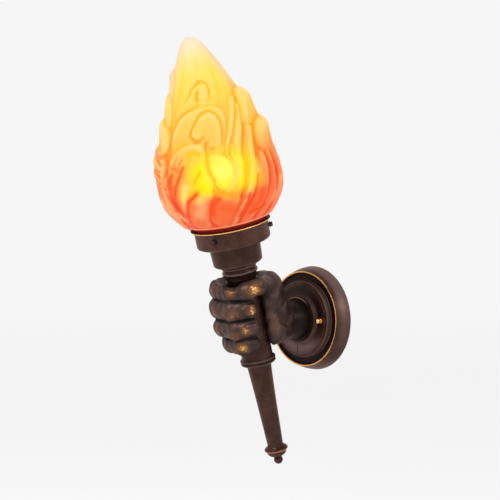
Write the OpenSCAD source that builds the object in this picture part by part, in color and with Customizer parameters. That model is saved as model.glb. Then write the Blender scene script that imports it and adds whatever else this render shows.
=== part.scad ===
// Torch wall sconce: a round wall plate carries an arm that ends in a fist.
// The fist grips a leaning torch whose cup holds a flame-shaped glass shade.
// Origin: centre of the wall plate's back face. The wall is the plane Y = 0,
// the room is at -Y and +Z is up. All sizes are millimetres.
// Along the torch, heights are measured on its axis from the arm's level.

/* [Torch] */
// Lean of the torch away from the wall, in degrees
torch_tilt = 15; // [12:1:18]
// Distance from the wall to the torch axis at the arm's level
torch_reach = 88; // [85:1:94]
// Radius of the grip inside the fist
grip_r = 15.8; // [15:0.1:16.5]
// Grip length above the arm's level
grip_above = 46; // [44:0.5:50]
// Grip length below the arm's level
grip_below = 35; // [32:0.5:38]
// Wall of the hollow grip
grip_wall = 3; // [2:0.25:4]
// Radius of the ring moulding under the fist
ring_r = 17.8; // [17:0.1:19.5]
// Height of the ring moulding
ring_h = 7; // [6:0.5:9]
// Length of the tapered shaft below the ring moulding
shaft_len = 86; // [60:1:110]
// Radius of the shaft under the ring moulding
shaft_r = 12.4; // [11:0.1:14]
// Radius of the shaft at its lower end
shaft_end_r = 7.9; // [7:0.1:9]
// Radius of the finial's disc
finial_r = 12.1; // [10:0.1:14]
// Length of the finial below the shaft
finial_len = 23.8; // [20:0.2:28]

/* [Cup] */
// Height of the ringed neck between the grip and the cup
neck_h = 16.5; // [15:0.5:20]
// Radius of the neck's bead rings
neck_r = 18; // [17:0.1:20]
// Radius of the socket cup
cup_r = 25.7; // [25:0.1:28]
// Height of the socket cup
cup_h = 21.5; // [20:0.5:26]
// Radius of the shade gallery
gallery_r = 37; // [36.5:0.1:40]
// Height of the shade gallery, lip included
gallery_h = 20; // [18:0.5:24]
// Radius of the gallery's gilt lip
lip_r = 40.2; // [39:0.1:44]
// Sheet thickness of the cup and the gallery
sheet = 1.8; // [1.2:0.1:2]

/* [Glass] */
// Largest radius of the flame's body under its leaves
flame_r = 58.2; // [54:0.1:62]
// Height of the flame above its neck
flame_h = 185.5; // [170:0.5:200]
// Outer radius of the glass neck
glass_neck_r = 34.2; // [33.8:0.1:34.6]
// Height of the glass neck's end over the gallery's lip
neck_rise = 0.8; // [0.6:0.1:2]
// Thickness of the glass
glass_wall = 3; // [2.5:0.25:3.25]
// Height that the boldest glass leaf stands out at its tip
leaf_h = 8; // [5:0.25:9]
// Sideways bend of the flame's tip
tip_bend = 3.25; // [0:0.25:5]
// Depth of the flutes in the glass
flute_depth = 1; // [0.5:0.25:2]
// Number of flutes round the flame
flutes = 10; // [8:1:12]
// Thickness of the seating gasket
gasket_t = 1.5; // [1:0.1:2.5]

/* [Lamp] */
// Radius of the lamp's globe
bulb_r = 27.5; // [25:0.5:28]
// Length of the lamp from the cap's contact to the top
bulb_len = 98; // [94:1:104]
// Radius of the lamp cap
cap_r = 13.1; // [12.8:0.05:13.3]
// Outer radius of the lampholder
holder_r = 19.5; // [18.5:0.1:20]
// Height of the lampholder body
holder_h = 32; // [30:0.5:34]
// Radius of the screwed tubes that clamp the stack and the arm
tube_r = 5; // [4.5:0.1:5.5]
// Radius of the bore in the screwed tubes
tube_bore_r = 3.6; // [3.4:0.1:3.8]
// Radius of an insulated lead
lead_r = 0.9; // [0.7:0.05:1]

/* [Wall plate] */
// Radius of the wall plate at the wall
plate_r = 53.7; // [52:0.1:60]
// Radius of the wall plate's gilt front edge
plate_edge_r = 48.5; // [47:0.1:51]
// Depth of the gilt edge from the wall
edge_depth = 16.4; // [15:0.2:20]
// Radius of the raised ring on the face
face_ring_r = 39; // [37.5:0.1:41]
// Depth of the raised ring from the wall
face_ring_depth = 19.2; // [18:0.2:21]
// Depth of the seat for the arm's cuff from the wall
seat_depth = 23.6; // [22.5:0.2:25]
// Thickness of the wall plate
plate_wall = 1.6; // [1.2:0.1:1.9]
// Distance of each cap nut from the centre
nut_offset = 31; // [29:0.5:33]
// Radius of the fixing studs
stud_r = 2; // [1.75:0.05:2.25]

/* [Wall bracket] */
// Length of the bracket's stud bar
bar_len = 84; // [76:1:92]
// Width of the bracket's bars
bar_w = 18; // [16:0.5:22]
// Thickness of the bracket
bar_t = 2; // [1.5:0.1:2.5]
// Distance between the centres of the two wall slots
slot_pitch = 60; // [54:1:64]
// Length of each wall slot
slot_len = 10; // [8:0.5:12]
// Half width of each wall slot
slot_r = 2.5; // [2:0.1:3]
// Radius of the cable hole
cable_r = 8; // [7:0.1:8.5]

/* [Hand] */
// Radius of the arm's cuff rim
cuff_r = 23; // [21.5:0.1:25]
// Length of the cuff from the plate into the wrist
cuff_len = 22; // [20:0.5:24]
// Radius of the wrist where it leaves the cuff
wrist_r = 16.5; // [15.5:0.1:18]
// Radius from the torch axis to the outside of the knuckles
fist_r = 38; // [37:0.1:40]
// Thickness of the index finger
index_t = 20; // [18.5:0.1:21]
// Thickness of the middle finger
middle_t = 20.5; // [18.5:0.1:21.5]
// Thickness of the ring finger
ring_finger_t = 19.2; // [17.5:0.1:20]
// Thickness of the little finger
little_t = 18; // [16:0.1:19]
// Height of the crease between middle and ring finger
crease_level = 10.5; // [9:0.5:12]

/* [Fits] */
// Radial clearance of a screw or tube in its hole
fit = 0.05; // [0.02:0.01:0.1]
// Gap between pieces that pass each other
gap = 0.3; // [0.3:0.05:0.5]
// Radius of the shade screws
screw_r = 2; // [1.75:0.05:2.25]

/* [Hidden] */
$fn = 96;

// Levels on the torch axis, from the lowest piece up
moulding_base = -grip_below - ring_h;
shaft_base = moulding_base - shaft_len;
finial_base = shaft_base - finial_len;
cup_base = grip_above + neck_h;
gallery_base = cup_base + cup_h;
gallery_top = gallery_base + gallery_h;
glass_base = gallery_base + sheet + gasket_t;
glass_shoulder = gallery_top + neck_rise;
flame_top = glass_shoulder + flame_h;
screw_level = gallery_base + gallery_h * 0.55;

// Levels of the lampholder and the lamp
nut_h = 3;
holder_cap_h = 4;
holder_cap_base = cup_base + sheet + nut_h;
holder_base = holder_cap_base + holder_cap_h;
chamber_h = 4.5;
web_t = 2.5;
contact_h = 1.2;
web_top = holder_base + chamber_h + web_t;
bulb_base = web_top + contact_h + gap;
bulb_cap_h = 25;
bulb_centre = bulb_base + bulb_len - bulb_r;
tube_top = holder_base + 0.5;
tube_foot = grip_above - 10;
shell_t = 0.6;
shell_r = cap_r + gap + shell_t;

// Radius of the hole that carries the leads from the arm into the torch
entry_r = 4.6;

// Arm levels, from the wall into the room
arm_nut_base = seat_depth - plate_wall - nut_h - 1;
arm_tube_start = arm_nut_base - 2;
arm_tube_end = seat_depth + cuff_len;
stud_end = face_ring_depth + 5.5;

// ---- Shared geometry ----

// Places its children on the torch axis: local Z runs up the torch
module on_torch() {
    translate([0, -torch_reach, 0]) rotate([torch_tilt, 0, 0]) children();
}

// Turns local +Z to point from the wall into the room
module from_wall() {
    rotate([90, 0, 0]) children();
}

// Point at side x, distance v towards the wall and height s on the torch
function torch_point(x, v, s) = [
    x,
    -torch_reach + v * cos(torch_tilt) - s * sin(torch_tilt),
    v * sin(torch_tilt) + s * cos(torch_tilt)
];

// Point on a ring round the torch: angle a runs from the room side to +X
function ring_point(a, r, s) = torch_point(r * sin(a), -r * cos(a), s);

// Arc as a list of points
function arc(x, y, r, from, to, steps = 8) = [
    for (i = [0 : steps])
        [x + r * cos(from + (to - from) * i / steps), y + r * sin(from + (to - from) * i / steps)]
];

// Smooth curve through a list of points, steps points to each stretch
function smooth(p, steps = 4) = concat([
    for (i = [0 : len(p) - 2], k = [0 : steps - 1])
        let (
            t = k / steps,
            a = p[max(i - 1, 0)], b = p[i], c = p[i + 1], d = p[min(i + 2, len(p) - 1)]
        )
        0.5 * (2 * b + (c - a) * t + (2 * a - 5 * b + 4 * c - d) * t * t
            + (3 * b - a - 3 * c + d) * t * t * t)
], [p[len(p) - 1]]);

function unit(v) = v / norm(v);

// Solid through a list of closed rings that have the same number of points
module loft(rings) {
    n = len(rings[0]);
    last = len(rings) - 1;
    points = [for (ring = rings) each ring];
    sides = [
        for (k = [0 : last - 1], i = [0 : n - 1], half = [0, 1])
            let (j = (i + 1) % n, a = k * n + i, b = k * n + j, c = a + n, d = b + n)
            half == 0 ? [a, c, b] : [b, c, d]
    ];
    foot = [[for (i = [0 : n - 1]) i]];
    head = [[for (i = [n - 1 : -1 : 0]) last * n + i]];
    polyhedron(points = points, faces = concat(foot, sides, head), convexity = 8);
}

// Round lead along a path that stays near a plane of constant X
module lead(path, r, sides = 8) {
    count = len(path);
    rings = [
        for (i = [0 : count - 1])
            let (
                along = unit(path[min(i + 1, count - 1)] - path[max(i - 1, 0)]),
                n1 = unit(cross(along, [1, 0, 0])),
                n2 = cross(along, n1)
            )
            [for (k = [0 : sides - 1])
                path[i] + r * (cos(360 * k / sides) * n1 + sin(360 * k / sides) * n2)]
    ];
    loft(rings);
}

module tube(r, bore, h) {
    difference() {
        cylinder(r = r, h = h);
        translate([0, 0, -1]) cylinder(r = bore, h = h + 2);
    }
}

module hex_nut(width, bore, h) {
    difference() {
        cylinder(d = width / cos(30), h = h, $fn = 6);
        translate([0, 0, -1]) cylinder(r = bore, h = h + 2);
    }
}

// ---- Wall side ----

// Cross-shaped steel bracket: studs on the level bar, wall slots on the upright one
slot_half = slot_len / 2 - slot_r;
upright_len = slot_pitch + slot_len + 10;
module wall_bracket() {
    color("silver") from_wall() difference() {
        union() {
            translate([-bar_len / 2, -bar_w / 2, 0]) cube([bar_len, bar_w, bar_t]);
            translate([-bar_w / 2, -upright_len / 2, 0]) cube([bar_w, upright_len, bar_t]);
            cylinder(r = cable_r + 6, h = bar_t);
        }
        translate([0, 0, -1]) cylinder(r = cable_r, h = bar_t + 2);
        for (side = [-1, 1]) {
            translate([side * nut_offset, 0, -1]) cylinder(r = stud_r + fit, h = bar_t + 2);
            translate([0, side * slot_pitch / 2, -1]) {
                for (end = [-1, 1])
                    translate([0, end * slot_half, 0]) cylinder(r = slot_r, h = bar_t + 2);
                translate([-slot_r, -slot_half, 0]) cube([2 * slot_r, 2 * slot_half, bar_t + 2]);
            }
        }
        translate([earth_x, 0, -1]) cylinder(r = earth_r + fit, h = bar_t + 2);
    }
}

// Two studs that stand on the bracket and reach through the wall plate
stud_head_h = 0.8;
module bracket_studs() {
    color("gainsboro") from_wall() for (side = [-1, 1])
        translate([side * nut_offset, 0, bar_t - stud_head_h]) cylinder(r = stud_r, h = stud_end - bar_t);
}

lock_nut_w = 7;
module stud_lock_nuts() {
    color("gainsboro") from_wall() for (side = [-1, 1])
        translate([side * nut_offset, 0, bar_t]) hex_nut(lock_nut_w, stud_r + fit, nut_h);
}

// Spun shell: gilt front edge, dark groove, raised ring, dished face and flat seat
groove_w = 6;
groove_depth = edge_depth - 2.8;
seat_r = cuff_r + 1;
nut_seat_r = nut_offset + 5;
nut_seat_depth = face_ring_depth + 0.6;
plate_outside = concat(
    [[plate_r, 0]],
    smooth([[plate_r - 0.3, 2], [plate_r - 1.2, edge_depth * 0.4], [plate_edge_r + 0.9, edge_depth - 1.6]], 3),
    arc(plate_edge_r, edge_depth - 0.9, 0.9, 0, 180, 6),
    [
        [plate_edge_r - 1.8, groove_depth + 0.6],
        [plate_edge_r - 2.4, groove_depth],
        [face_ring_r + 1.8, groove_depth],
        [face_ring_r + 1.1, groove_depth + 0.8]
    ],
    arc(face_ring_r - 0.5, face_ring_depth - 0.9, 0.9, 0, 100, 5),
    [
        [nut_seat_r, nut_seat_depth - 0.4],
        [nut_seat_r - 1, nut_seat_depth],
        [nut_offset - 4.5, nut_seat_depth],
        [seat_r + 0.6, seat_depth - 0.9],
        [seat_r, seat_depth],
        [0, seat_depth]
    ]
);
plate_inside = [
    [0, seat_depth - plate_wall],
    [seat_r - 0.6, seat_depth - plate_wall],
    [nut_offset - 5, nut_seat_depth - plate_wall],
    [face_ring_r - 1.6, nut_seat_depth - plate_wall - 0.7],
    [face_ring_r - 0.6, groove_depth - plate_wall],
    [plate_edge_r - 1.2, groove_depth - plate_wall],
    [plate_r - 1.2 - plate_wall, edge_depth * 0.35],
    [plate_r - 0.2 - plate_wall, 0]
];
module wall_plate() {
    color("#33292a") from_wall() difference() {
        rotate_extrude() polygon(concat(plate_outside, plate_inside));
        translate([0, 0, seat_depth - plate_wall - 1]) cylinder(r = tube_r + fit, h = plate_wall + 2);
        for (side = [-1, 1])
            translate([side * nut_offset, 0, nut_seat_depth - plate_wall - 2])
                cylinder(r = stud_r + 0.2, h = plate_wall + 4);
    }
}

// Brass cap nuts with a hexagon foot and a ball head
cap_nut_w = 5.6;
cap_ball_r = 2.5;
module cap_nuts() {
    color("goldenrod") from_wall() for (side = [-1, 1])
        translate([side * nut_offset, 0, nut_seat_depth]) difference() {
            union() {
                cylinder(d = cap_nut_w / cos(30), h = 2, $fn = 6);
                cylinder(r = 1.9 + stud_r / 4, h = 3);
                translate([0, 0, 2 + cap_ball_r]) sphere(r = cap_ball_r);
            }
            translate([0, 0, -1]) cylinder(r = stud_r + fit, h = stud_end - nut_seat_depth + 0.6);
        }
}

earth_x = 19;
earth_r = 1.75;
earth_tag_t = 0.8;
crimp_r = 1.5;
crimp_end = 8;
module earth_screw() {
    color("goldenrod") from_wall() translate([earth_x, 0, 0]) {
        cylinder(r = earth_r, h = bar_t + earth_tag_t);
        translate([0, 0, bar_t]) cylinder(r = earth_r + 2.2, h = earth_tag_t);
        translate([0, earth_r, bar_t + crimp_r]) rotate([-90, 0, 0]) cylinder(r = crimp_r, h = crimp_end - earth_r);
        translate([0, 0, bar_t + earth_tag_t]) difference() {
            cylinder(r = earth_r + 1.6, h = 2.2);
            translate([-0.45, -5, 1.3]) cube([0.9, 10, 2]);
        }
    }
}

// Two-way insulated terminal block on the bracket's upright bar, under the cable hole
block_w = 20;
block_h = 9;
block_d = 9.5;
block_top = -cable_r - 3;
way_pitch = 8;
way_r = 1.7;
module terminal_block() {
    color("ivory") difference() {
        union() {
            translate([-block_w / 2, -bar_t - block_d, block_top - block_h])
                cube([block_w, block_d, block_h]);
            for (side = [-1, 1])
                translate([side * way_pitch / 2, -bar_t - block_d - 1.5, block_top - block_h / 2])
                    rotate([-90, 0, 0]) cylinder(r = way_r + 1.1, h = 3);
        }
        for (side = [-1, 1]) {
            translate([side * way_pitch / 2, -bar_t - block_d - 4, block_top - block_h / 2])
                rotate([-90, 0, 0]) cylinder(r = way_r, h = 7);
            translate([side * way_pitch / 2, lead_y, block_top - block_h - 1])
                cylinder(r = lead_r + 0.2, h = block_h / 2);
        }
    }
}

module terminal_screws() {
    color("gainsboro") for (side = [-1, 1])
        translate([side * way_pitch / 2, -bar_t - block_d - 0.5, block_top - block_h / 2])
            rotate([-90, 0, 0]) difference() {
                cylinder(r = way_r - fit, h = 3.4);
                translate([-0.35, -3, -1]) cube([0.7, 6, 1.7]);
            }
}

// ---- Arm ----

module arm_tube() {
    color("silver") from_wall() translate([0, 0, arm_tube_start])
        tube(tube_r, tube_bore_r, arm_tube_end - arm_tube_start);
}

arm_washer_r = tube_r + 7;
module arm_washer() {
    color("silver") from_wall() translate([0, 0, seat_depth - plate_wall - 1])
        tube(arm_washer_r, tube_r + fit, 1);
}

module arm_nut() {
    color("silver") from_wall() translate([0, 0, arm_nut_base])
        hex_nut(14, tube_r + fit, nut_h);
}

// Domed cuff between the wall plate and the wrist
cuff_rim = 2.4;
cuff_end = seat_depth + cuff_len;
module arm_cuff() {
    color("#2a2122") from_wall() difference() {
        rotate_extrude() polygon(concat(
            [[0, seat_depth], [cuff_r - 0.8, seat_depth]],
            arc(cuff_r - 0.8, seat_depth + 0.8, 0.8, -90, 0, 4),
            arc(cuff_r - 0.8, seat_depth + cuff_rim - 0.8, 0.8, 0, 90, 4),
            smooth([
                [cuff_r - 2.2, seat_depth + cuff_rim + 0.2],
                [cuff_r - 2.9, seat_depth + cuff_len * 0.4],
                [wrist_r + (cuff_r - wrist_r) * 0.3, seat_depth + cuff_len * 0.72],
                [wrist_r, cuff_end]
            ], 3),
            [[0, cuff_end]]
        ));
        translate([0, 0, seat_depth - 1]) cylinder(r = tube_r + fit, h = cuff_len + 2);
    }
}

// ---- Hand ----

// A right fist, thumb up, as one skin round the grip. Its rows run round the torch:
// four to a finger and one in each crease. Its columns run up the torch, and angle 0
// faces the room with angles growing to the palm side (+X).
sleeve = 1.2;
bore_r = grip_r + 0.1;
finger_t = [little_t, ring_finger_t, middle_t, index_t];
ring_level = crease_level - ring_finger_t / 2;
little_level = crease_level - ring_finger_t - little_t / 2;
middle_level = crease_level + middle_t / 2;
index_level = crease_level + middle_t + index_t / 2;
finger_level = [little_level, ring_level, middle_level, index_level];
hand_top = index_level + index_t / 2;
hand_foot = little_level - little_t / 2;

// Height of the skin over the grip, as a share of the knuckle height: [angle, share]
finger_skin = smooth([
    [-120, 0.72], [-110, 0.8], [-95, 0.74], [-80, 0.76], [-62, 0.93], [-48, 1], [-34, 0.92],
    [-15, 0.8], [0, 0.79], [14, 0.84], [30, 0.79], [48, 0.75], [60, 0.62], [68, 0.38],
    [76, 0.04], [82, 0], [96, 0], [103, 0.12], [110, 0.36], [120, 0.5], [180, 0.55], [240, 0.72]
], 3);
thumb_skin = smooth([
    [-120, 0.7], [-110, 0.76], [-95, 0.66], [-80, 0.64], [-62, 0.75], [-48, 0.81], [-34, 0.79],
    [-15, 0.76], [0, 0.76], [14, 0.8], [30, 0.77], [44, 0.78], [54, 0.86], [64, 0.92],
    [76, 0.86], [90, 0.8], [105, 0.75], [120, 0.7], [180, 0.62], [240, 0.7]
], 3);
// How far the creases cut in: full round the fingers, shallow on palm and back
crease_share = [
    [-120, 0.3], [-100, 0.7], [-80, 1], [55, 1], [76, 0.15], [82, 0], [100, 0], [120, 0.12], [180, 0.12], [240, 0.3]
];
// Extra length of the heel of the hand below the little finger
heel_drop = [[-120, 0], [-80, 0], [96, 0], [112, 2], [150, 0], [180, -1], [240, 0]];
little_share = 0.66;
// How far the top of the hand falls off behind the thumb
top_drop = [[-120, 3], [-95, 1], [-80, 0], [70, 0], [90, 3], [120, 4.2], [180, 4.5], [240, 3]];

knuckle = fist_r - grip_r - sleeve;
function skin(i, a) =
    i == 3 ? lookup(a, thumb_skin) : lookup(a, finger_skin) * (i == 0 && a < 80 ? little_share : 1);
function skin_r(i, a, turn) =
    grip_r + sleeve + knuckle * skin(i, a)
    - min(finger_t[i] * 0.45, knuckle * skin(i, a)) * lookup(a, crease_share) * (1 - cos(turn));
function finger_row(i, a, turn) = [
    skin_r(i, a, turn),
    finger_level[i] + finger_t[i] / 2 * sin(turn) / sin(crease_turn)
        - (i == 3 ? lookup(a, top_drop) * (1 + sin(turn)) / 2 : 0)
];
crease_turn = 78;
row_turns = [-52, -18, 18, 52];

// One column of the skin at angle a, from the lower edge of the bore up the outside
// to its upper edge: [radius, level]
function hand_column(a) = concat(
    [[bore_r, hand_foot + 2], [bore_r + 0.8, hand_foot + 0.6]],
    [[skin_r(0, a, 88) - 0.6, hand_foot - lookup(a, heel_drop)]],
    [
        for (i = [0 : 3], k = [0 : 4])
            if (k < 4)
                finger_row(i, a, row_turns[k])
            else if (i < 3)
                [
                    min(skin_r(i, a, crease_turn), skin_r(i + 1, a, crease_turn)),
                    finger_level[i] + finger_t[i] / 2
                ]
    ],
    [[skin_r(3, a, 80), hand_top - 0.4 - lookup(a, top_drop)], [bore_r + 1.4, grip_above - 1], [bore_r, grip_above - 3]]
);

columns = 72;
column_step = 360 / columns;
first_angle = -120;
rows = len(hand_column(0));
// The wrist leaves the skin through a window between these columns and rows
win_left = round((120 - first_angle) / column_step);
win_right = round((235 - first_angle) / column_step);
win_low = 2;
win_high = rows - 4;
win_w = win_right - win_left;
win_h = win_high - win_low;
wrist_steps = 6;

// Columns and rows met when going once round the window's edge
function window_spot(k) =
    k < win_w ? [win_left + k, win_low]
    : k < win_w + win_h ? [win_right, win_low + k - win_w]
    : k < 2 * win_w + win_h ? [win_right - (k - win_w - win_h), win_high]
    : [win_left, win_high - (k - 2 * win_w - win_h)];
function wrist_point(p, u) =
    let (
        dir = atan2(p[2] - arm_rise, p[0]),
        stay = 1.15 + 1.1 * max(0, sin(dir)) + 0.35 * max(0, cos(dir)),
        e = pow(u, stay),
        end = [wrist_r * cos(dir), -cuff_end, wrist_r * sin(dir)]
    )
    [p[0] * (1 - e) + end[0] * e, p[1] * (1 - u) + end[1] * u, p[2] * (1 - e) + end[2] * e];
arm_rise = 8;

module hand() {
    skin_points = [
        for (c = [0 : columns - 1])
            let (a = first_angle + c * column_step)
            each [for (p = hand_column(a)) ring_point(a, p[0], p[1])]
    ];
    loop = 2 * (win_w + win_h);
    wrist_points = [
        for (u = [1 : wrist_steps], k = [0 : loop - 1])
            let (spot = window_spot(k))
            wrist_point(skin_points[spot[0] * rows + spot[1]], u / wrist_steps)
    ];
    base = columns * rows;
    function corner(c, r) = (c % columns) * rows + r % rows;
    function wrist_corner(u, k) =
        u == 0
        ? let (spot = window_spot(k % loop)) spot[0] * rows + spot[1]
        : base + (u - 1) * loop + k % loop;
    skin_faces = [
        for (c = [0 : columns - 1], r = [0 : rows - 1], half = [0, 1])
            if (c < win_left || c >= win_right || r < win_low || r >= win_high)
                half == 0
                ? [corner(c, r), corner(c, r + 1), corner(c + 1, r)]
                : [corner(c + 1, r), corner(c, r + 1), corner(c + 1, r + 1)]
    ];
    wrist_faces = [
        for (u = [0 : wrist_steps - 1], k = [0 : loop - 1], half = [0, 1])
            half == 0
            ? [wrist_corner(u, k + 1), wrist_corner(u, k), wrist_corner(u + 1, k)]
            : [wrist_corner(u, k + 1), wrist_corner(u + 1, k), wrist_corner(u + 1, k + 1)]
    ];
    end_face = [[for (k = [loop - 1 : -1 : 0]) wrist_corner(wrist_steps, k)]];
    color("#352b2b") difference() {
        polyhedron(
            points = concat(skin_points, wrist_points),
            faces = concat(skin_faces, wrist_faces, end_face),
            convexity = 10
        );
        translate([0, -cuff_end + 1, 0]) rotate([90, 0, 0])
            cylinder(r = entry_r, h = torch_reach - cuff_end - grip_r + 6);
    }
}

// ---- Torch ----

module torch_handle() {
    color("#352b2b") on_torch() difference() {
        rotate_extrude() polygon(concat(
            [[0, shaft_base], [shaft_end_r, shaft_base]],
            smooth([
                [shaft_end_r, shaft_base],
                [shaft_end_r + 0.4, shaft_base + 4],
                [(shaft_r + shaft_end_r) / 2, shaft_base + shaft_len * 0.55],
                [shaft_r, moulding_base]
            ], 4),
            arc(ring_r - 1.6, moulding_base + 1.6, 1.6, -90, 80, 6),
            arc(ring_r - 1.1, moulding_base + ring_h - 2.6, 1.4, -60, 90, 6),
            [[grip_r, -grip_below], [grip_r, grip_above], [0, grip_above]]
        ));
        translate([0, 0, -grip_below]) cylinder(r = grip_r - grip_wall, h = grip_below + tube_foot + 2);
        translate([0, 0, tube_foot]) cylinder(r = tube_r + fit, h = 20);
        // Lead entry from the arm, level with the world and square to the wall
        rotate([-torch_tilt, 0, 0]) rotate([-90, 0, 0]) cylinder(r = entry_r, h = grip_r + 10);
    }
}

disc_h = 3;
finial_ball_r = finial_len * 0.195;
module finial() {
    color("#352b2b") on_torch() rotate_extrude() polygon(concat(
        [[0, shaft_base], [shaft_end_r, shaft_base]],
        smooth([
            [shaft_end_r, shaft_base],
            [shaft_end_r + 0.5, shaft_base - finial_len * 0.14],
            [finial_r - 0.8, shaft_base - finial_len * 0.24]
        ], 3),
        arc(finial_r - 0.8, shaft_base - finial_len * 0.3, 0.8, 70, -70, 5),
        smooth([
            [finial_r - 1.6, shaft_base - finial_len * 0.38],
            [finial_r * 0.72, shaft_base - finial_len * 0.54],
            [finial_r * 0.4, shaft_base - finial_len * 0.64]
        ], 3),
        arc(0, finial_base + finial_ball_r, finial_ball_r, 45, -90, 8)
    ));
}

bead_r = 2.1;
module torch_neck() {
    color("#352b2b") on_torch() difference() {
        rotate_extrude() polygon(concat(
            [[0, grip_above], [neck_r - 3.4, grip_above], [neck_r - 3.2, grip_above + 0.8]],
            smooth([
                [neck_r - 2.6, grip_above + 2],
                [neck_r - 2.4, grip_above + neck_h * 0.25],
                [neck_r - 1.5, grip_above + neck_h * 0.38]
            ], 3),
            arc(neck_r - bead_r, grip_above + neck_h * 0.53, bead_r, -60, 70, 6),
            arc(neck_r - bead_r - 0.3, cup_base - bead_r - 0.4, bead_r, -70, 70, 6),
            [[neck_r - 3, cup_base], [0, cup_base]]
        ));
        translate([0, 0, grip_above - 1]) cylinder(r = tube_r + fit, h = neck_h + 2);
    }
}

cup_fillet = 3;
cup_taper = 1;
module socket_cup() {
    color("#3d3131") on_torch() difference() {
        rotate_extrude() polygon(concat(
            [[0, cup_base]],
            arc(cup_r - cup_taper - cup_fillet, cup_base + cup_fillet, cup_fillet, -90, 0, 5),
            [
                [cup_r, gallery_base],
                [cup_r - sheet, gallery_base],
                [cup_r - cup_taper - sheet, cup_base + cup_fillet],
                [cup_r - cup_taper - cup_fillet, cup_base + sheet],
                [0, cup_base + sheet]
            ]
        ));
        translate([0, 0, cup_base - 1]) cylinder(r = tube_r + fit, h = sheet + 2);
    }
}

module torch_tube() {
    color("silver") on_torch() translate([0, 0, tube_foot]) tube(tube_r, tube_bore_r, tube_top - tube_foot);
}

module tube_nut() {
    color("silver") on_torch() translate([0, 0, cup_base + sheet]) hex_nut(14, tube_r + fit, nut_h);
}

// ---- Shade gallery ----

gallery_inner = gallery_r - sheet;
lip_h = 1.6;
floor_r = holder_r + 0.4;
module shade_gallery() {
    color("#453634") on_torch() difference() {
        rotate_extrude() polygon(concat(
            [[floor_r, gallery_base]],
            arc(gallery_r - cup_fillet, gallery_base + cup_fillet, cup_fillet, -90, 0, 5),
            [
                [gallery_r, gallery_top - 4],
                [gallery_r + 0.7, gallery_top - lip_h - 0.6],
                [lip_r - 0.6, gallery_top - lip_h]
            ],
            arc(lip_r - lip_h / 2, gallery_top - lip_h / 2, lip_h / 2, -60, 90, 5),
            [
                [gallery_inner + 0.8, gallery_top],
                [gallery_inner, gallery_top - 1.2],
                [gallery_inner, gallery_base + cup_fillet],
                [gallery_inner - 1.2, gallery_base + sheet],
                [floor_r, gallery_base + sheet]
            ]
        ));
        for (a = screw_angles)
            rotate([0, 0, a]) translate([gallery_inner - 3, 0, screw_level]) rotate([0, 90, 0])
                cylinder(r = screw_r + fit, h = sheet + 6);
    }
}

// Threaded ring that clamps the gallery's floor to the lampholder
ring_flange_r = holder_r + 5;
module shade_ring() {
    color("#d8d2c4") on_torch() difference() {
        rotate_extrude() polygon([
            [holder_r + fit, gallery_base + sheet],
            [ring_flange_r, gallery_base + sheet],
            [ring_flange_r, gallery_base + sheet + 1.8],
            [holder_r + 2.4, gallery_base + sheet + 2.4],
            [holder_r + 2.4, gallery_base + sheet + 6.5],
            [holder_r + fit, gallery_base + sheet + 6.5]
        ]);
        for (a = [0 : 30 : 330])
            rotate([0, 0, a]) translate([holder_r + 2.9, 0, gallery_base + sheet + 3])
                cylinder(r = 0.9, h = 5);
    }
}

module shade_gasket() {
    color("dimgray") on_torch() translate([0, 0, gallery_base + sheet])
        tube(gallery_inner - 1.3, glass_neck_r - glass_wall - 0.6, gasket_t);
}

// ---- Lampholder ----

module holder_cap() {
    color("#d8d2c4") on_torch() translate([0, 0, holder_cap_base])
        tube(holder_r - 2.5, tube_r + fit, holder_cap_h);
}

flange_h = 4;
chamber_r = 12;
holder_top = holder_base + holder_h;
module holder_body() {
    color("#e9e4d8") on_torch() difference() {
        rotate_extrude() polygon([
            [chamber_r, holder_base],
            [holder_r - 2, holder_base],
            [holder_r - 2, gallery_base - flange_h],
            [holder_r + 2, gallery_base - flange_h + 1.5],
            [holder_r + 2, gallery_base],
            [holder_r, gallery_base],
            [holder_r, holder_top - 1],
            [holder_r - 1, holder_top],
            [shell_r + fit, holder_top],
            [shell_r + fit, web_top],
            [0, web_top],
            [0, holder_base + chamber_h],
            [chamber_r, holder_base + chamber_h]
        ]);
        translate([0, 0, holder_base + chamber_h - 1]) cylinder(r = rivet_r + fit, h = web_t + 2);
    }
}

module holder_shell() {
    color("goldenrod") on_torch() translate([0, 0, web_top]) tube(shell_r, shell_r - shell_t, holder_h * 0.72);
}

rivet_r = 1.6;
module holder_contact() {
    color("goldenrod") on_torch() union() {
        translate([0, 0, web_top]) cylinder(r = 4, h = contact_h);
        translate([0, 0, web_top - web_t - 0.8]) cylinder(r = rivet_r, h = web_t + 1.6);
    }
}

terminal_x = 9.4;
terminal_w = 3.6;
module holder_terminals() {
    color("goldenrod") on_torch() for (side = [-1, 1])
        translate([side * terminal_x, 0, holder_base + chamber_h / 2]) {
            cube([terminal_w, terminal_w, chamber_h - 0.6], center = true);
            translate([0, terminal_w / 2, 0]) rotate([-90, 0, 0]) cylinder(r = 1.2, h = 1.4);
        }
}

// ---- Leads inside the lamp ----

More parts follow.
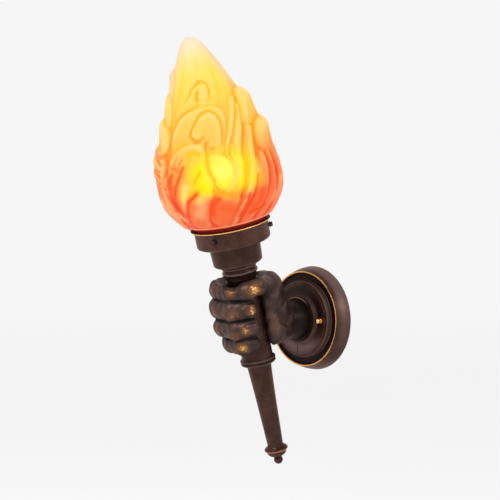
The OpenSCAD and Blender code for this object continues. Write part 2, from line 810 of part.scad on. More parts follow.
lead_x = 1.5;
lead_y = -bar_t - 5.5;
lead_turn = torch_reach - 8;
function lead_route(side) = let (bend = arm_tube_start - 4) [
    [side * way_pitch / 2, lead_y, block_top],
    [side * way_pitch / 2, lead_y - 0.2, block_top + 2.5],
    [side * (way_pitch / 2 - 0.6), lead_y - 0.9, block_top + 5.5],
    [side * (lead_x + 0.6), -bend - 0.8, -1.9],
    [side * lead_x, -bend - 4.2, -0.25],
    [side * lead_x, -arm_tube_start - 4, 0],
    [side * lead_x, -(arm_tube_start + arm_tube_end) / 2, 0],
    [side * lead_x, -arm_tube_end, 0],
    [side * lead_x, -(arm_tube_end + lead_turn) / 2, 0],
    [side * lead_x, -lead_turn, 0.2],
    torch_point(side * lead_x, 3.6, 2.4),
    torch_point(side * lead_x, 0.6, 7),
    torch_point(side * lead_x, 0, 13),
    torch_point(side * lead_x, 0, tube_foot - 4),
    torch_point(side * lead_x, 0, (tube_foot + tube_top) / 2),
    torch_point(side * lead_x, 0, tube_top - 1),
    torch_point(side * (lead_x + 0.6), 0, tube_top + 0.8),
    torch_point(side * (lead_x + 2.2), 0, holder_base + chamber_h * 0.4),
    torch_point(side * (terminal_x - terminal_w / 2 - 0.15), 0, holder_base + chamber_h * 0.6)
];
module live_lead() {
    color("sienna") lead(smooth(lead_route(1), 2), lead_r);
}
module neutral_lead() {
    color("royalblue") lead(smooth(lead_route(-1), 2), lead_r);
}

// Earth lead from the crimped tag on its screw to the washer under the arm nut
module earth_lead() {
    washer_face = -(seat_depth - plate_wall - 1);
    end_r = arm_washer_r - 1.6;
    color("yellowgreen") lead(smooth([
        [earth_x, -bar_t - crimp_r, crimp_end],
        [earth_x - 0.5, -bar_t - crimp_r - 0.4, crimp_end + 2.5],
        [earth_x - 4, -bar_t - 5, crimp_end + 5],
        [earth_x - 9, -bar_t - 11, crimp_end + 5],
        [end_r * 0.68, washer_face + 3, end_r * 0.86],
        [end_r * 0.6, washer_face + 0.15, end_r * 0.8]
    ], 3), lead_r);
}

// ---- Glass flame ----

// Body of the flame above its neck: [share of the height, share of the radius]
flame_body = [
    [0, 0.629], [0.012, 0.679], [0.028, 0.732], [0.067, 0.833], [0.11, 0.921], [0.149, 0.973],
    [0.209, 1], [0.28, 0.99], [0.351, 0.948], [0.411, 0.897], [0.471, 0.839], [0.531, 0.777],
    [0.589, 0.704], [0.643, 0.646], [0.702, 0.564], [0.756, 0.492], [0.826, 0.397], [0.847, 0.37],
    [0.897, 0.295], [0.934, 0.23], [0.961, 0.178], [0.98, 0.131], [0.993, 0.075], [1, 0.012]
];

function body_radius(h) = flame_r * lookup(h, flame_body);

// Leaves that lap over the body: [height at the low level, height at the high level, low
// level, high level, outline]. Heights are shares of leaf_h and levels are shares of
// flame_h. The outline's corners are [angle, level]. The face's leaves come twice,
// half a turn apart.
face_leaves = [
    [0.1, 0.225, 0.233, 0.675, [
        [-4, 0.449], [-5, 0.508], [-2, 0.551], [3, 0.583], [16, 0.632], [41, 0.653], [52, 0.653],
        [63, 0.643], [70, 0.621], [72, 0.578], [69, 0.529], [59, 0.416], [48, 0.384], [25, 0.362],
        [8, 0.384]
    ]],
    [0.125, 0.25, 0.653, 0.756, [
        [40, 0.653], [41, 0.691], [42, 0.723], [45, 0.745], [50, 0.75], [55, 0.734], [56, 0.707],
        [53, 0.675], [49, 0.648]
    ]],
    [0.175, 0.375, 0.438, 0.632, [
        [42, 0.502], [33, 0.486], [28, 0.492], [24, 0.508], [22, 0.529], [24, 0.556], [33, 0.605],
        [46, 0.632], [54, 0.632], [61, 0.616], [65, 0.578], [66, 0.54], [61, 0.465], [57, 0.432],
        [45, 0.443], [43, 0.459]
    ]],
    [0.175, 0.375, 0.082, 0.492, [
        [32, 0.486], [21, 0.492], [12, 0.481], [-2, 0.438], [-7, 0.405], [-13, 0.325], [-13, 0.281],
        [3, 0.104], [8, 0.06], [22, 0.093], [41, 0.244], [45, 0.319], [44, 0.395], [42, 0.443],
        [38, 0.47]
    ]],
    [0.2, 0.45, 0.082, 0.449, [
        [29, 0.449], [24, 0.438], [1, 0.265], [-2, 0.233], [-2, 0.201], [6, 0.093], [12, 0.06],
        [28, 0.125], [38, 0.211], [42, 0.276], [38, 0.422]
    ]],
    [0.225, 0.425, 0.227, 0.416, [
        [42, 0.416], [40, 0.384], [41, 0.319], [45, 0.254], [48, 0.233], [52, 0.227], [56, 0.238],
        [63, 0.287], [64, 0.341], [59, 0.395], [48, 0.422]
    ]],
    [0.15, 0.35, 0.039, 0.244, [
        [3, 0.06], [14, 0.201], [18, 0.227], [29, 0.254], [35, 0.249], [40, 0.233], [41, 0.201],
        [26, 0.033], [10, 0.023]
    ]],
    [0.15, 0.35, 0.039, 0.222, [
        [30, 0.066], [34, 0.152], [37, 0.184], [41, 0.206], [47, 0.217], [64, 0.195], [65, 0.157],
        [62, 0.114], [52, 0.028], [38, 0.023]
    ]],
    [0.15, 0.275, 0.405, 0.675, [
        [88, 0.67], [80, 0.616], [67, 0.508], [60, 0.427], [61, 0.389], [65, 0.416], [69, 0.454],
        [94, 0.632], [98, 0.675]
    ]],
    [0.175, 0.35, 0.179, 0.643, [
        [94, 0.637], [67, 0.443], [64, 0.405], [66, 0.325], [65, 0.281], [57, 0.217], [58, 0.184],
        [64, 0.179], [73, 0.244], [76, 0.287], [77, 0.373], [79, 0.416], [101, 0.632]
    ]],
    [0.2, 0.375, 0.039, 0.513, [
        [95, 0.529], [82, 0.438], [78, 0.395], [74, 0.26], [70, 0.217], [53, 0.077], [50, 0.028],
        [58, 0.028], [79, 0.179], [86, 0.254], [93, 0.395], [104, 0.508]
    ]],
    [0.15, 0.3, 0.039, 0.373, [
        [97, 0.384], [92, 0.341], [83, 0.206], [68, 0.087], [62, 0.028], [74, 0.023], [83, 0.06],
        [90, 0.104], [95, 0.147], [102, 0.244], [104, 0.298], [104, 0.351], [102, 0.384]
    ]],
    [0.15, 0.3, 0.039, 0.373, [
        [105, 0.384], [106, 0.33], [105, 0.287], [98, 0.184], [87, 0.082], [84, 0.028], [97, 0.028],
        [104, 0.077], [112, 0.168], [115, 0.276], [114, 0.384]
    ]]
];
side_leaves = [
    [0.25, 0.3, 0.039, 0.384, [
        [116, 0.395], [116, 0.298], [113, 0.174], [109, 0.12], [103, 0.066], [100, 0.023],
        [124, 0.017], [140, 0.028], [150, 0.087], [156, 0.157], [158, 0.233], [157, 0.319],
        [150, 0.384], [133, 0.405]
    ]],
    [0.1, 0.762, 0.438, 0.707, [
        [112, 0.723], [104, 0.691], [98, 0.643], [91, 0.546], [94, 0.513], [103, 0.497], [138, 0.492],
        [154, 0.508], [162, 0.556], [162, 0.621], [153, 0.68], [140, 0.713], [126, 0.729]
    ]],
    [0, 1.05, 0.276, 0.546, [
        [112, 0.535], [104, 0.502], [99, 0.465], [97, 0.416], [99, 0.378], [106, 0.357], [118, 0.346],
        [138, 0.341], [156, 0.357], [164, 0.405], [163, 0.465], [155, 0.513], [142, 0.54], [126, 0.546]
    ]],
    [0.125, 0.7, 0.659, 0.858, [
        [-66, 0.783], [-56, 0.831], [-42, 0.853], [-28, 0.831], [-18, 0.777], [-17, 0.707],
        [-26, 0.659], [-44, 0.648], [-60, 0.67], [-68, 0.729]
    ]],
    [0.175, 0.725, 0.519, 0.75, [
        [-73, 0.664], [-61, 0.723], [-42, 0.745], [-25, 0.723], [-12, 0.664], [-11, 0.589],
        [-22, 0.529], [-42, 0.513], [-62, 0.529], [-75, 0.594]
    ]],
    [0.362, 0.975, 0.4, 0.621, [
        [-75, 0.535], [-62, 0.594], [-42, 0.621], [-25, 0.599], [-11, 0.54], [-10, 0.47], [-22, 0.416],
        [-42, 0.395], [-62, 0.411], [-76, 0.47]
    ]],
    [0.3, 0.925, -0.15, 0.492, [
        [-82, 0.298], [-78, 0.384], [-66, 0.454], [-44, 0.486], [-24, 0.454], [-12, 0.384],
        [-7, 0.298], [-6, 0.19], [-10, 0.093], [-18, 0.017], [-44, -0.015], [-68, 0.012], [-79, 0.093],
        [-83, 0.19]
    ]]
];

// Leaf turned by an angle, its outline in millimetres round its middle:
// [heights and levels as before, middle angle, millimetres in a degree, box, outline]
function placed(leaf, by) =
    let (
        angles = [for (p = leaf[4]) p[0]],
        levels = [for (p = leaf[4]) p[1]],
        middle = (min(angles) + max(angles)) / 2,
        mm = (body_radius((min(levels) + max(levels)) / 2) + 2) * PI / 180
    )
    [
        leaf[0], leaf[1], leaf[2], leaf[3], middle + by, mm,
        (max(angles) - middle) * mm, min(levels), max(levels),
        [for (p = leaf[4]) [(p[0] - middle) * mm, p[1] * flame_h]]
    ];
leaves = [
    for (leaf = side_leaves) placed(leaf, 0),
    for (by = [0, 180], leaf = face_leaves) placed(leaf, by)
];

function edge_gap(p, a, b) =
    let (e = b - a, t = max(0, min(1, (p - a) * e / (e * e))))
    norm(p - a - t * e);
function crossings(p, loop) = len([
    for (i = [0 : len(loop) - 1])
        let (a = loop[i], b = loop[(i + 1) % len(loop)])
        if ((a[1] > p[1]) != (b[1] > p[1])
            && p[0] < a[0] + (b[0] - a[0]) * (p[1] - a[1]) / (b[1] - a[1])) i
]);
function depth_in(p, loop) =
    crossings(p, loop) % 2 == 0
    ? 0
    : min([for (i = [0 : len(loop) - 1]) edge_gap(p, loop[i], loop[(i + 1) % len(loop)])]);

// How far a leaf stands out at angle a and height share h, nothing off the leaf
function leaf_rise(leaf, a, h) =
    let (
        off = a - leaf[4],
        x = (off - 360 * round(off / 360)) * leaf[5],
        t = max(0, min(1, (h - leaf[2]) / (leaf[3] - leaf[2]))),
        height = leaf_h * (leaf[0] + (leaf[1] - leaf[0]) * pow(t, 1.3))
    )
    abs(x) > leaf[6]
    ? 0
    : height * sin(90 * min(1, depth_in([x, h * flame_h], leaf[9]) / (leaf_roll + height)));
leaf_roll = 5;

flame_twist = 80;
function flute_fade(h) = sin(min(1, h / 0.25) * 90) * sin(min(1, (1 - h) / 0.3) * 90);
function flame_radius(a, h, near) =
    body_radius(h) + max([
        flute_depth * flute_fade(h) * (abs(cos((a - flame_twist * h) * flutes / 2)) - 0.6),
        for (leaf = near) leaf_rise(leaf, a, h)
    ]);

glass_sides = 80;
glass_rows = 44;
// Angle of a column of the glass, 0 facing the room: columns lean most along the
// long slanting leaves
function column_turn(i, h) =
    let (a = 360 * i / glass_sides)
    a + column_lean * pow(cos(a - lean_angle), 2) * (min(0.75, max(0, h)) - 0.45);
column_lean = 90;
lean_angle = 83;
function glass_ring(h, radii) = [
    for (i = [0 : glass_sides - 1])
        let (
            a = column_turn(i, h),
            bend = tip_bend * pow(max(0, h - 0.71) / 0.26, 1.2)
        )
        [
            radii[i] * sin(a) + bend * sin(bend_angle),
            -radii[i] * cos(a) - bend * cos(bend_angle),
            glass_shoulder + flame_h * h
        ]
];
bend_angle = -42;
function round_ring(level, r) =
    glass_ring((level - glass_shoulder) / flame_h, [for (i = [0 : glass_sides - 1]) r]);

module flame_shade() {
    inside = [
        for (h = [0.88 : -0.11 : 0.02])
            round_ring(glass_shoulder + flame_h * h, body_radius(h) - glass_wall - flute_depth)
    ];
    outside = [
        for (k = [0 : glass_rows])
            let (
                u = k / glass_rows,
                h = 0.75 * u + 0.25 * (1 - cos(180 * u)) / 2,
                near = [for (leaf = leaves) if (h > leaf[7] && h < leaf[8]) leaf],
                turns = [for (i = [0 : glass_sides - 1]) column_turn(i, h)]
            )
            glass_ring(h, [for (a = turns) max(0.4, flame_radius(a, h, near))])
    ];
    color("orangered") on_torch() loft(concat(
        inside,
        [
            round_ring(glass_shoulder - 2, glass_neck_r - glass_wall),
            round_ring(glass_base, glass_neck_r - glass_wall),
            round_ring(glass_base, glass_neck_r),
            round_ring(glass_shoulder - 0.7, glass_neck_r)
        ],
        outside
    ));
}

// ---- Lamp ----

bulb_wall = 1;
bulb_neck_r = cap_r - 1.7;
globe_foot = bulb_base + bulb_cap_h;
bulb_outline = concat(
    [[0, globe_foot - 1], [bulb_neck_r, globe_foot - 1]],
    smooth([
        [bulb_neck_r, globe_foot],
        [bulb_neck_r + 2.4, globe_foot + 8],
        [bulb_r * 0.74, bulb_centre - bulb_r * 0.78],
        [bulb_r * cos(22), bulb_centre - bulb_r * sin(22)]
    ], 4),
    arc(0, bulb_centre, bulb_r, -15, 90, 14)
);
module bulb_glass() {
    color("ivory") on_torch() difference() {
        rotate_extrude() polygon(bulb_outline);
        rotate_extrude() polygon(concat(
            [
                [0, globe_foot + 2],
                [bulb_neck_r - bulb_wall, globe_foot + 2],
                [bulb_neck_r + 1, globe_foot + 8],
                [bulb_r * 0.74 - bulb_wall * 1.5, bulb_centre - bulb_r * 0.74]
            ],
            arc(0, bulb_centre, bulb_r - bulb_wall, -18, 90, 12)
        ));
        translate([0, 0, globe_foot - 2]) cylinder(r = post_r + fit, h = 6);
    }
}

thread_pitch = 3.6;
module bulb_cap() {
    color("silver") on_torch() difference() {
        union() {
            translate([0, 0, bulb_base + 3]) cylinder(r = cap_r - 0.7, h = bulb_cap_h - 3);
            for (k = [1 : 4])
                translate([0, 0, bulb_base + 4 + k * thread_pitch])
                    rotate_extrude() translate([cap_r - 1, 0]) circle(r = 1, $fn = 24);
        }
        translate([0, 0, bulb_base + 4]) cylinder(r = bulb_neck_r + fit, h = bulb_cap_h);
        translate([0, 0, bulb_base]) cylinder(r = cap_r - 4, h = 8);
    }
}

module bulb_insulator() {
    color("black") on_torch() translate([0, 0, bulb_base + 0.8]) difference() {
        cylinder(r1 = 6, r2 = cap_r - 4.1, h = 3);
        translate([0, 0, -1]) cylinder(r = 3.1, h = 6);
    }
}

module bulb_contact() {
    color("silver") on_torch() translate([0, 0, bulb_base]) cylinder(r = 3, h = 2.4);
}

// Glass post that carries the lit element in the middle of the globe
post_r = 4;
module filament_post() {
    color("gold") on_torch() union() {
        translate([0, 0, globe_foot - 1]) cylinder(r = post_r, h = 12);
        translate([0, 0, globe_foot + 10]) cylinder(r1 = post_r, r2 = 1.6, h = 12);
        translate([0, 0, globe_foot + 20]) cylinder(r = 1.6, h = bulb_centre - globe_foot - 20);
        translate([0, 0, bulb_centre]) sphere(r = 4);
    }
}

// ---- Shade screws ----

// Three screws at equal spacing; the first one faces the room's right
screw_angles = [290, 50, 170];
screw_tip_r = glass_neck_r + gap;
screw_head_r = gallery_r + 0.4;
module shade_screw(a) {
    color("#453634") on_torch() rotate([0, 0, a]) translate([0, 0, screw_level]) rotate([0, 90, 0]) {
        translate([0, 0, screw_tip_r]) cylinder(r = screw_r, h = screw_head_r - screw_tip_r + 1);
        translate([0, 0, screw_head_r]) cylinder(r = screw_r + 0.9, h = 1.2);
        translate([0, 0, screw_head_r + 1.2]) cylinder(r = screw_r + 0.3, h = 2.2, $fn = 6);
    }
}
module shade_screw_1() shade_screw(screw_angles[0]);
module shade_screw_2() shade_screw(screw_angles[1]);
module shade_screw_3() shade_screw(screw_angles[2]);

wall_bracket();
bracket_studs();
stud_lock_nuts();
wall_plate();
cap_nuts();
earth_screw();
terminal_block();
terminal_screws();
arm_tube();
arm_washer();
arm_nut();
arm_cuff();
hand();
torch_handle();
finial();
torch_neck();
socket_cup();
torch_tube();
tube_nut();
shade_gallery();
shade_ring();
shade_gasket();
holder_cap();
holder_body();
holder_shell();
holder_contact();
holder_terminals();
live_lead();
neutral_lead();
earth_lead();
flame_shade();
bulb_glass();
bulb_cap();
bulb_insulator();
bulb_contact();
filament_post();
shade_screw_1();
shade_screw_2();
shade_screw_3();
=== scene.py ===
# Torch wall sconce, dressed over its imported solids: a fist on a round wall plate grips
# a leaning bronze torch with a flame-shaped glass. Lengths in the sculpting are
# millimetres on the torch's own axes; meshes are turned into the world's metres.
import math
import bpy
import numpy as np
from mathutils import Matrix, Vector


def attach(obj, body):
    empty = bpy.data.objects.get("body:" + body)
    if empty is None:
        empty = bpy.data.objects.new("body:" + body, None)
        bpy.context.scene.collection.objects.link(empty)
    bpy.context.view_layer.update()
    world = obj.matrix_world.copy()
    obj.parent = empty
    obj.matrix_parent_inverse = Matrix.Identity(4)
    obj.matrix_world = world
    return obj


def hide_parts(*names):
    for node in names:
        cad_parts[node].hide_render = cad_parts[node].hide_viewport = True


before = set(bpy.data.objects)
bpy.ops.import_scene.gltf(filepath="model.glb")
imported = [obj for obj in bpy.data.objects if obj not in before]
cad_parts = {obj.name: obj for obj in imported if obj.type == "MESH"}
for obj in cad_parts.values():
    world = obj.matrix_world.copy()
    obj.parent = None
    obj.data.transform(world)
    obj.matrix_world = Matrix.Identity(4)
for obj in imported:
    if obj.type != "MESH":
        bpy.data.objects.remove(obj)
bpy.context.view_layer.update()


# ---- Studio ----
# A camera 1.5 m off with a long lens looks along the wall at the lamp, a little from
# above. Round it are a pale floor, a white surround and two soft panels.
def place_camera():
    target, distance = Vector((0, -0.09, 0.06)), 1.49581
    toward = Vector((0.7459, -0.6639, 0.0539)).normalized()
    data = bpy.data.cameras.new("camera")
    data.lens = 108
    data.sensor_width = 36
    data.shift_x, data.shift_y = 0.00184, 0.02628
    data.clip_end = 60
    camera = bpy.data.objects.new("camera", data)
    camera.location = target + toward * distance
    camera.rotation_euler = toward.to_track_quat("Z", "Y").to_euler()
    bpy.context.collection.objects.link(camera)
    bpy.context.scene.camera = camera


def panel(name, place, aim, width, power, colour=(1, 1, 1)):
    data = bpy.data.lights.new(name, "AREA")
    data.shape = "DISK"
    data.size = width
    data.energy = power
    data.color = colour
    light = bpy.data.objects.new(name, data)
    light.location = place
    light.rotation_euler = (Vector(place) - Vector(aim)).to_track_quat("Z", "Y").to_euler()
    bpy.context.collection.objects.link(light)


place_camera()
panel("key_panel", (0.3, -1.9, 1.5), (0, -0.1, 0.05), 1.1, 34)
panel("side_panel", (1.9, 0.1, 0.9), (0, -0.05, 0.05), 0.8, 12)
scene = bpy.context.scene
scene.view_settings.view_transform = "Standard"
world = bpy.data.worlds.new("surround")
world.use_nodes = True
SURROUND = 0.922
world.node_tree.nodes["Background"].inputs["Color"].default_value = (SURROUND, SURROUND, SURROUND, 1)
scene.world = world


class Wire:
    """A shader socket. Arithmetic on it adds Math nodes, and node() adds any other node."""

    def __init__(self, tree, socket=None):
        self.tree, self.socket = tree, socket

    def node(self, kind, settings=None, inputs=None, out=0):
        made = self.tree.nodes.new("ShaderNode" + kind)
        for name, value in (settings or {}).items():
            if name == "stops":
                while len(made.color_ramp.elements) < len(value):
                    made.color_ramp.elements.new(1)
                for stop, (at, colour) in zip(made.color_ramp.elements, value):
                    stop.position, stop.color = at, (*colour, 1)
            else:
                setattr(made, name, value)
        for name, value in (inputs or {}).items():
            if isinstance(value, Wire):
                self.tree.links.new(value.socket, made.inputs[name])
            else:
                made.inputs[name].default_value = value
        return Wire(self.tree, made.outputs[out])

    def math(self, operation, *values):
        return self.node("Math", {"operation": operation}, dict(enumerate(values)))

    def __add__(self, other):
        return self.math("ADD", self, other)

    def __sub__(self, other):
        return self.math("SUBTRACT", self, other)

    def __rsub__(self, other):
        return self.math("SUBTRACT", other, self)

    def __mul__(self, other):
        return self.math("MULTIPLY", self, other)

    def __truediv__(self, other):
        return self.math("DIVIDE", self, other)

    def __pow__(self, other):
        return self.math("POWER", self, other)

    def __neg__(self):
        return self.math("MULTIPLY", self, -1.0)

    __radd__, __rmul__ = __add__, __mul__

    def limit(self, low=0.0, high=1.0):
        return self.node("Clamp", None, {0: self, 1: low, 2: high})

    def bell(self, centre, width):
        """1 at the centre, falling smoothly to 0 over the width on both sides."""
        off = (self - centre) / width
        return (1 - off * off).limit() ** 2.0

    def step(self, low, high):
        """0 under low, 1 over high, smooth between."""
        settings = {"interpolation_type": "SMOOTHSTEP"}
        return self.node("MapRange", settings, {0: self, 1: low, 2: high})


class Finish:
    """A material under way: its node tree, its Principled shader and the piece's own axes."""

    def __init__(self, name, **constants):
        self.material = bpy.data.materials.new(name)
        self.material.use_nodes = True
        self.tree = self.material.node_tree
        self.shader = self.tree.nodes["Principled BSDF"]
        self.start = Wire(self.tree)
        for socket, value in constants.items():
            self.set(socket.replace("_", " "), value)
        self.place = self.start.node("TexCoord", out=3)
        self.x, self.y, self.z = (
            self.start.node("SeparateXYZ", None, {0: self.place}, out=i) * 1000.0 for i in range(3)
        )

    def set(self, socket, value):
        if isinstance(value, Wire):
            self.tree.links.new(value.socket, self.shader.inputs[socket])
        elif isinstance(value, tuple):
            self.shader.inputs[socket].default_value = (*value, 1)
        else:
            self.shader.inputs[socket].default_value = value

    def noise(self, size, detail=4.0, rough=0.55, seed=0.0):
        """Cloudy texture from 0 to 1 with features about size millimetres across."""
        inputs = {
            "Vector": self.place, "W": seed, "Scale": 1000.0 / size, "Detail": detail, "Roughness": rough,
        }
        return self.start.node("TexNoise", {"noise_dimensions": "4D"}, inputs)

    def mix(self, mask, first, second):
        first, second = ((*c, 1) if isinstance(c, tuple) else c for c in (first, second))
        return self.start.node("Mix", {"data_type": "RGBA"}, {0: mask, 6: first, 7: second}, out=2)

    def attribute(self, name):
        """A value that the piece's own mesh carries at each vertex."""
        return self.start.node("Attribute", {"attribute_name": name}, out=2)

    def bump(self, height, depth):
        """Bump in millimetres of depth."""
        inputs = {"Strength": 1.0, "Distance": depth / 1000, "Height": height}
        self.set("Normal", self.start.node("Bump", None, inputs))

    def torch_axes(self):
        """Distance from the torch axis, level along it and place towards the wall, in millimetres."""
        out = self.y + REACH
        v = out * COS + self.z * SIN
        level = self.z * COS - out * SIN
        return (self.x * self.x + v * v) ** 0.5, level, v

    def wear(self, *nodes):
        for node in nodes:
            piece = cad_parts[node] if isinstance(node, str) else node
            if not piece.material_slots:
                piece.data.materials.append(self.material)
            for slot in piece.material_slots:
                slot.material = self.material


def lay_floor():
    """A wide level floor under the lamp, matt, pale grey near it and nearly white far off."""
    mesh = bpy.data.meshes.new("floor")
    edge, level = 30, -0.62
    corners = [(x * edge, y * edge, level) for x, y in ((-1, -1), (1, -1), (1, 1), (-1, 1))]
    mesh.from_pydata(corners, [], [(0, 1, 2, 3)])
    floor = bpy.data.objects.new("floor", mesh)
    bpy.context.collection.objects.link(floor)
    chalk = Finish("floor_chalk", Roughness=1.0, Specular_IOR_Level=0.0)
    cloud = chalk.noise(400, 2.0)
    far = (((chalk.x * chalk.x + chalk.y * chalk.y) ** 0.5) / 1000.0).step(2.0, 9.0)
    tone = chalk.mix(cloud, (0.83, 0.83, 0.83), (0.845, 0.845, 0.845))
    chalk.set("Base Color", chalk.mix(far, tone, (0.925, 0.925, 0.925)))
    chalk.set("Emission Color", (0.9, 0.9, 0.9))
    chalk.set("Emission Strength", 0.08)
    mesh.materials.append(chalk.material)


lay_floor()


# ---- Wall plate ----
# A shell spun from sheet brass and dipped in dark bronze lacquer. The maker drew a gilt line by hand round
# its front edge, so it wavers. The groove inside it is painted dark as shade.
GOLD = (0.82, 0.42, 0.1)


def lacquer(name, seed, light=1.0, rough=0.36):
    """Dark bronze lacquer: the finish and its colour, cloudy, with worn flecks. The light factor scales
    its colour; on the cuff that is painted shade.
    """
    metal = Finish(name, Specular_IOR_Level=0.24, Specular_Tint=(1, 0.74, 0.66), Metallic=0.5)
    clouds = metal.noise(17, 4.0, 0.6, seed)
    grain = metal.noise(1.3, 3.0, 0.7, seed + 1)
    deep = tuple(c * light for c in (0.034, 0.0135, 0.0095))
    thin = tuple(c * light for c in (0.07, 0.032, 0.024))
    colour = metal.mix(clouds.step(0.32, 0.68), deep, thin)
    colour = metal.mix(grain.step(0.62, 0.8) * 0.35, colour, (0.13, 0.075, 0.06))
    metal.set("Roughness", rough - 0.06 + clouds * 0.14 + grain * 0.06)
    metal.bump(grain * 0.5 + clouds, 0.12)
    return metal, colour


def gild(metal, colour, mask, gold=GOLD):
    """Gilding where the mask nears 1, ragged at its edge."""
    ragged = (mask * 1.6 + (metal.noise(1.7, 3.0, 0.65, 9.0) - 0.5) * 1.1 - 0.45).step(0.0, 0.3)
    halo = (mask * 1.4).limit() * 0.5
    colour = metal.mix(halo, colour, (0.16, 0.06, 0.026))
    metal.set("Base Color", metal.mix(ragged, colour, gold))
    metal.set("Metallic", 0.5 + ragged * 0.4)


plate, dark = lacquer("plate_lacquer", 1.0, 0.85)
radius = (plate.x * plate.x + plate.z * plate.z) ** 0.5
depth = -plate.y
# painted shade in the groove, a painted highlight on the raised step inside it, and painted shade above
# the cuff
dark = plate.mix((radius.bell(43.6, 6) * 1.5).limit(), dark, (0.004, 0.0025, 0.0025))
dark = plate.mix(radius.bell(39.6, 1.5) * 0.6, dark, (0.16, 0.09, 0.078))
dark = plate.mix(radius.bell(31, 7) * (plate.z.step(-30, 12)) * 0.8, dark, (0.008, 0.005, 0.005))
# painted light: the side wall, paler towards its top, and the flat below the cuff, both a little paler;
# and the seam across the flat
dark = plate.mix(depth.step(14, 8) * plate.z.step(-45, 45) * 0.7, dark, (0.15, 0.095, 0.085))
flat = radius.bell(30, 9) * (1 - plate.z.step(-30, -14))
dark = plate.mix(flat.limit() * 0.85, dark, (0.16, 0.105, 0.1))
seam = plate.x.bell(-3.6, 1.0) * (1 - plate.z.step(-25, -22)) * radius.bell(31, 12)
dark = plate.mix(seam.limit(), dark, (0.012, 0.006, 0.006))
wander = (plate.noise(19, 2.0, 0.5, 4.0) - 0.5) * 2.4
line = (radius + wander * 0.4).bell(48.3, 1.15) * depth.step(14.4, 15.6)
# the gilt line is painted stronger towards the upper right, as a painted highlight
gilt_highlight = 0.82 + (plate.x * 0.5 + plate.z * 0.6).step(-30, 30) * 0.5
gild(plate, dark, line * gilt_highlight, (0.85, 0.42, 0.12))
plate.wear("wall_plate")


# ---- Cap nuts ----
# Two small brass nuts with a ball head, turned and polished. They hold the wall plate on
# the bracket's studs, one on each side of the arm.
nut = Finish("polished_brass", Metallic=1.0)
tarnish = nut.noise(2.2, 3.0, 0.6, 2.0)
nut.set("Base Color", nut.mix(tarnish.step(0.45, 0.75), (0.86, 0.56, 0.2), (0.45, 0.23, 0.07)))
nut.set("Roughness", 0.16 + tarnish * 0.2)
nut.bump(tarnish, 0.05)
nut.wear("cap_nuts")


# ---- Cuff ----
# Domed cuff, cast with a rim that sits on the plate's flat seat. The screwed tube pulls it tight against
# plate and wrist. Its lacquer is darkened nearly to black as painted shade, and the top of its rim is
# paler as a painted highlight.
# a shaded copy of the lacquer, its colour scaled down as painted shade
cuff, dark = lacquer("cuff_lacquer", 5.0, 0.14, 0.34)
radius = (cuff.x * cuff.x + cuff.z * cuff.z) ** 0.5
# painted highlight along the top of the rim
lit = radius.bell(22.6, 0.8) * cuff.z.step(15, 21)
gild(cuff, cuff.mix(lit * 0.8, dark, (0.3, 0.19, 0.16)), lit * 0.2)
cuff.wear("arm_cuff")


# ---- Hand ----
# A right fist, cast in bronze in one piece with its wrist: four fingers and the thumb
# close round the grip. It is clamped between cuff and torch by the screwed tube, and
# its raised joints and nails are rubbed through to gold.
REACH, TILT = 88.0, math.radians(15)  # the torch axis: distance from the wall, lean
SIN, COS = math.sin(TILT), math.cos(TILT)


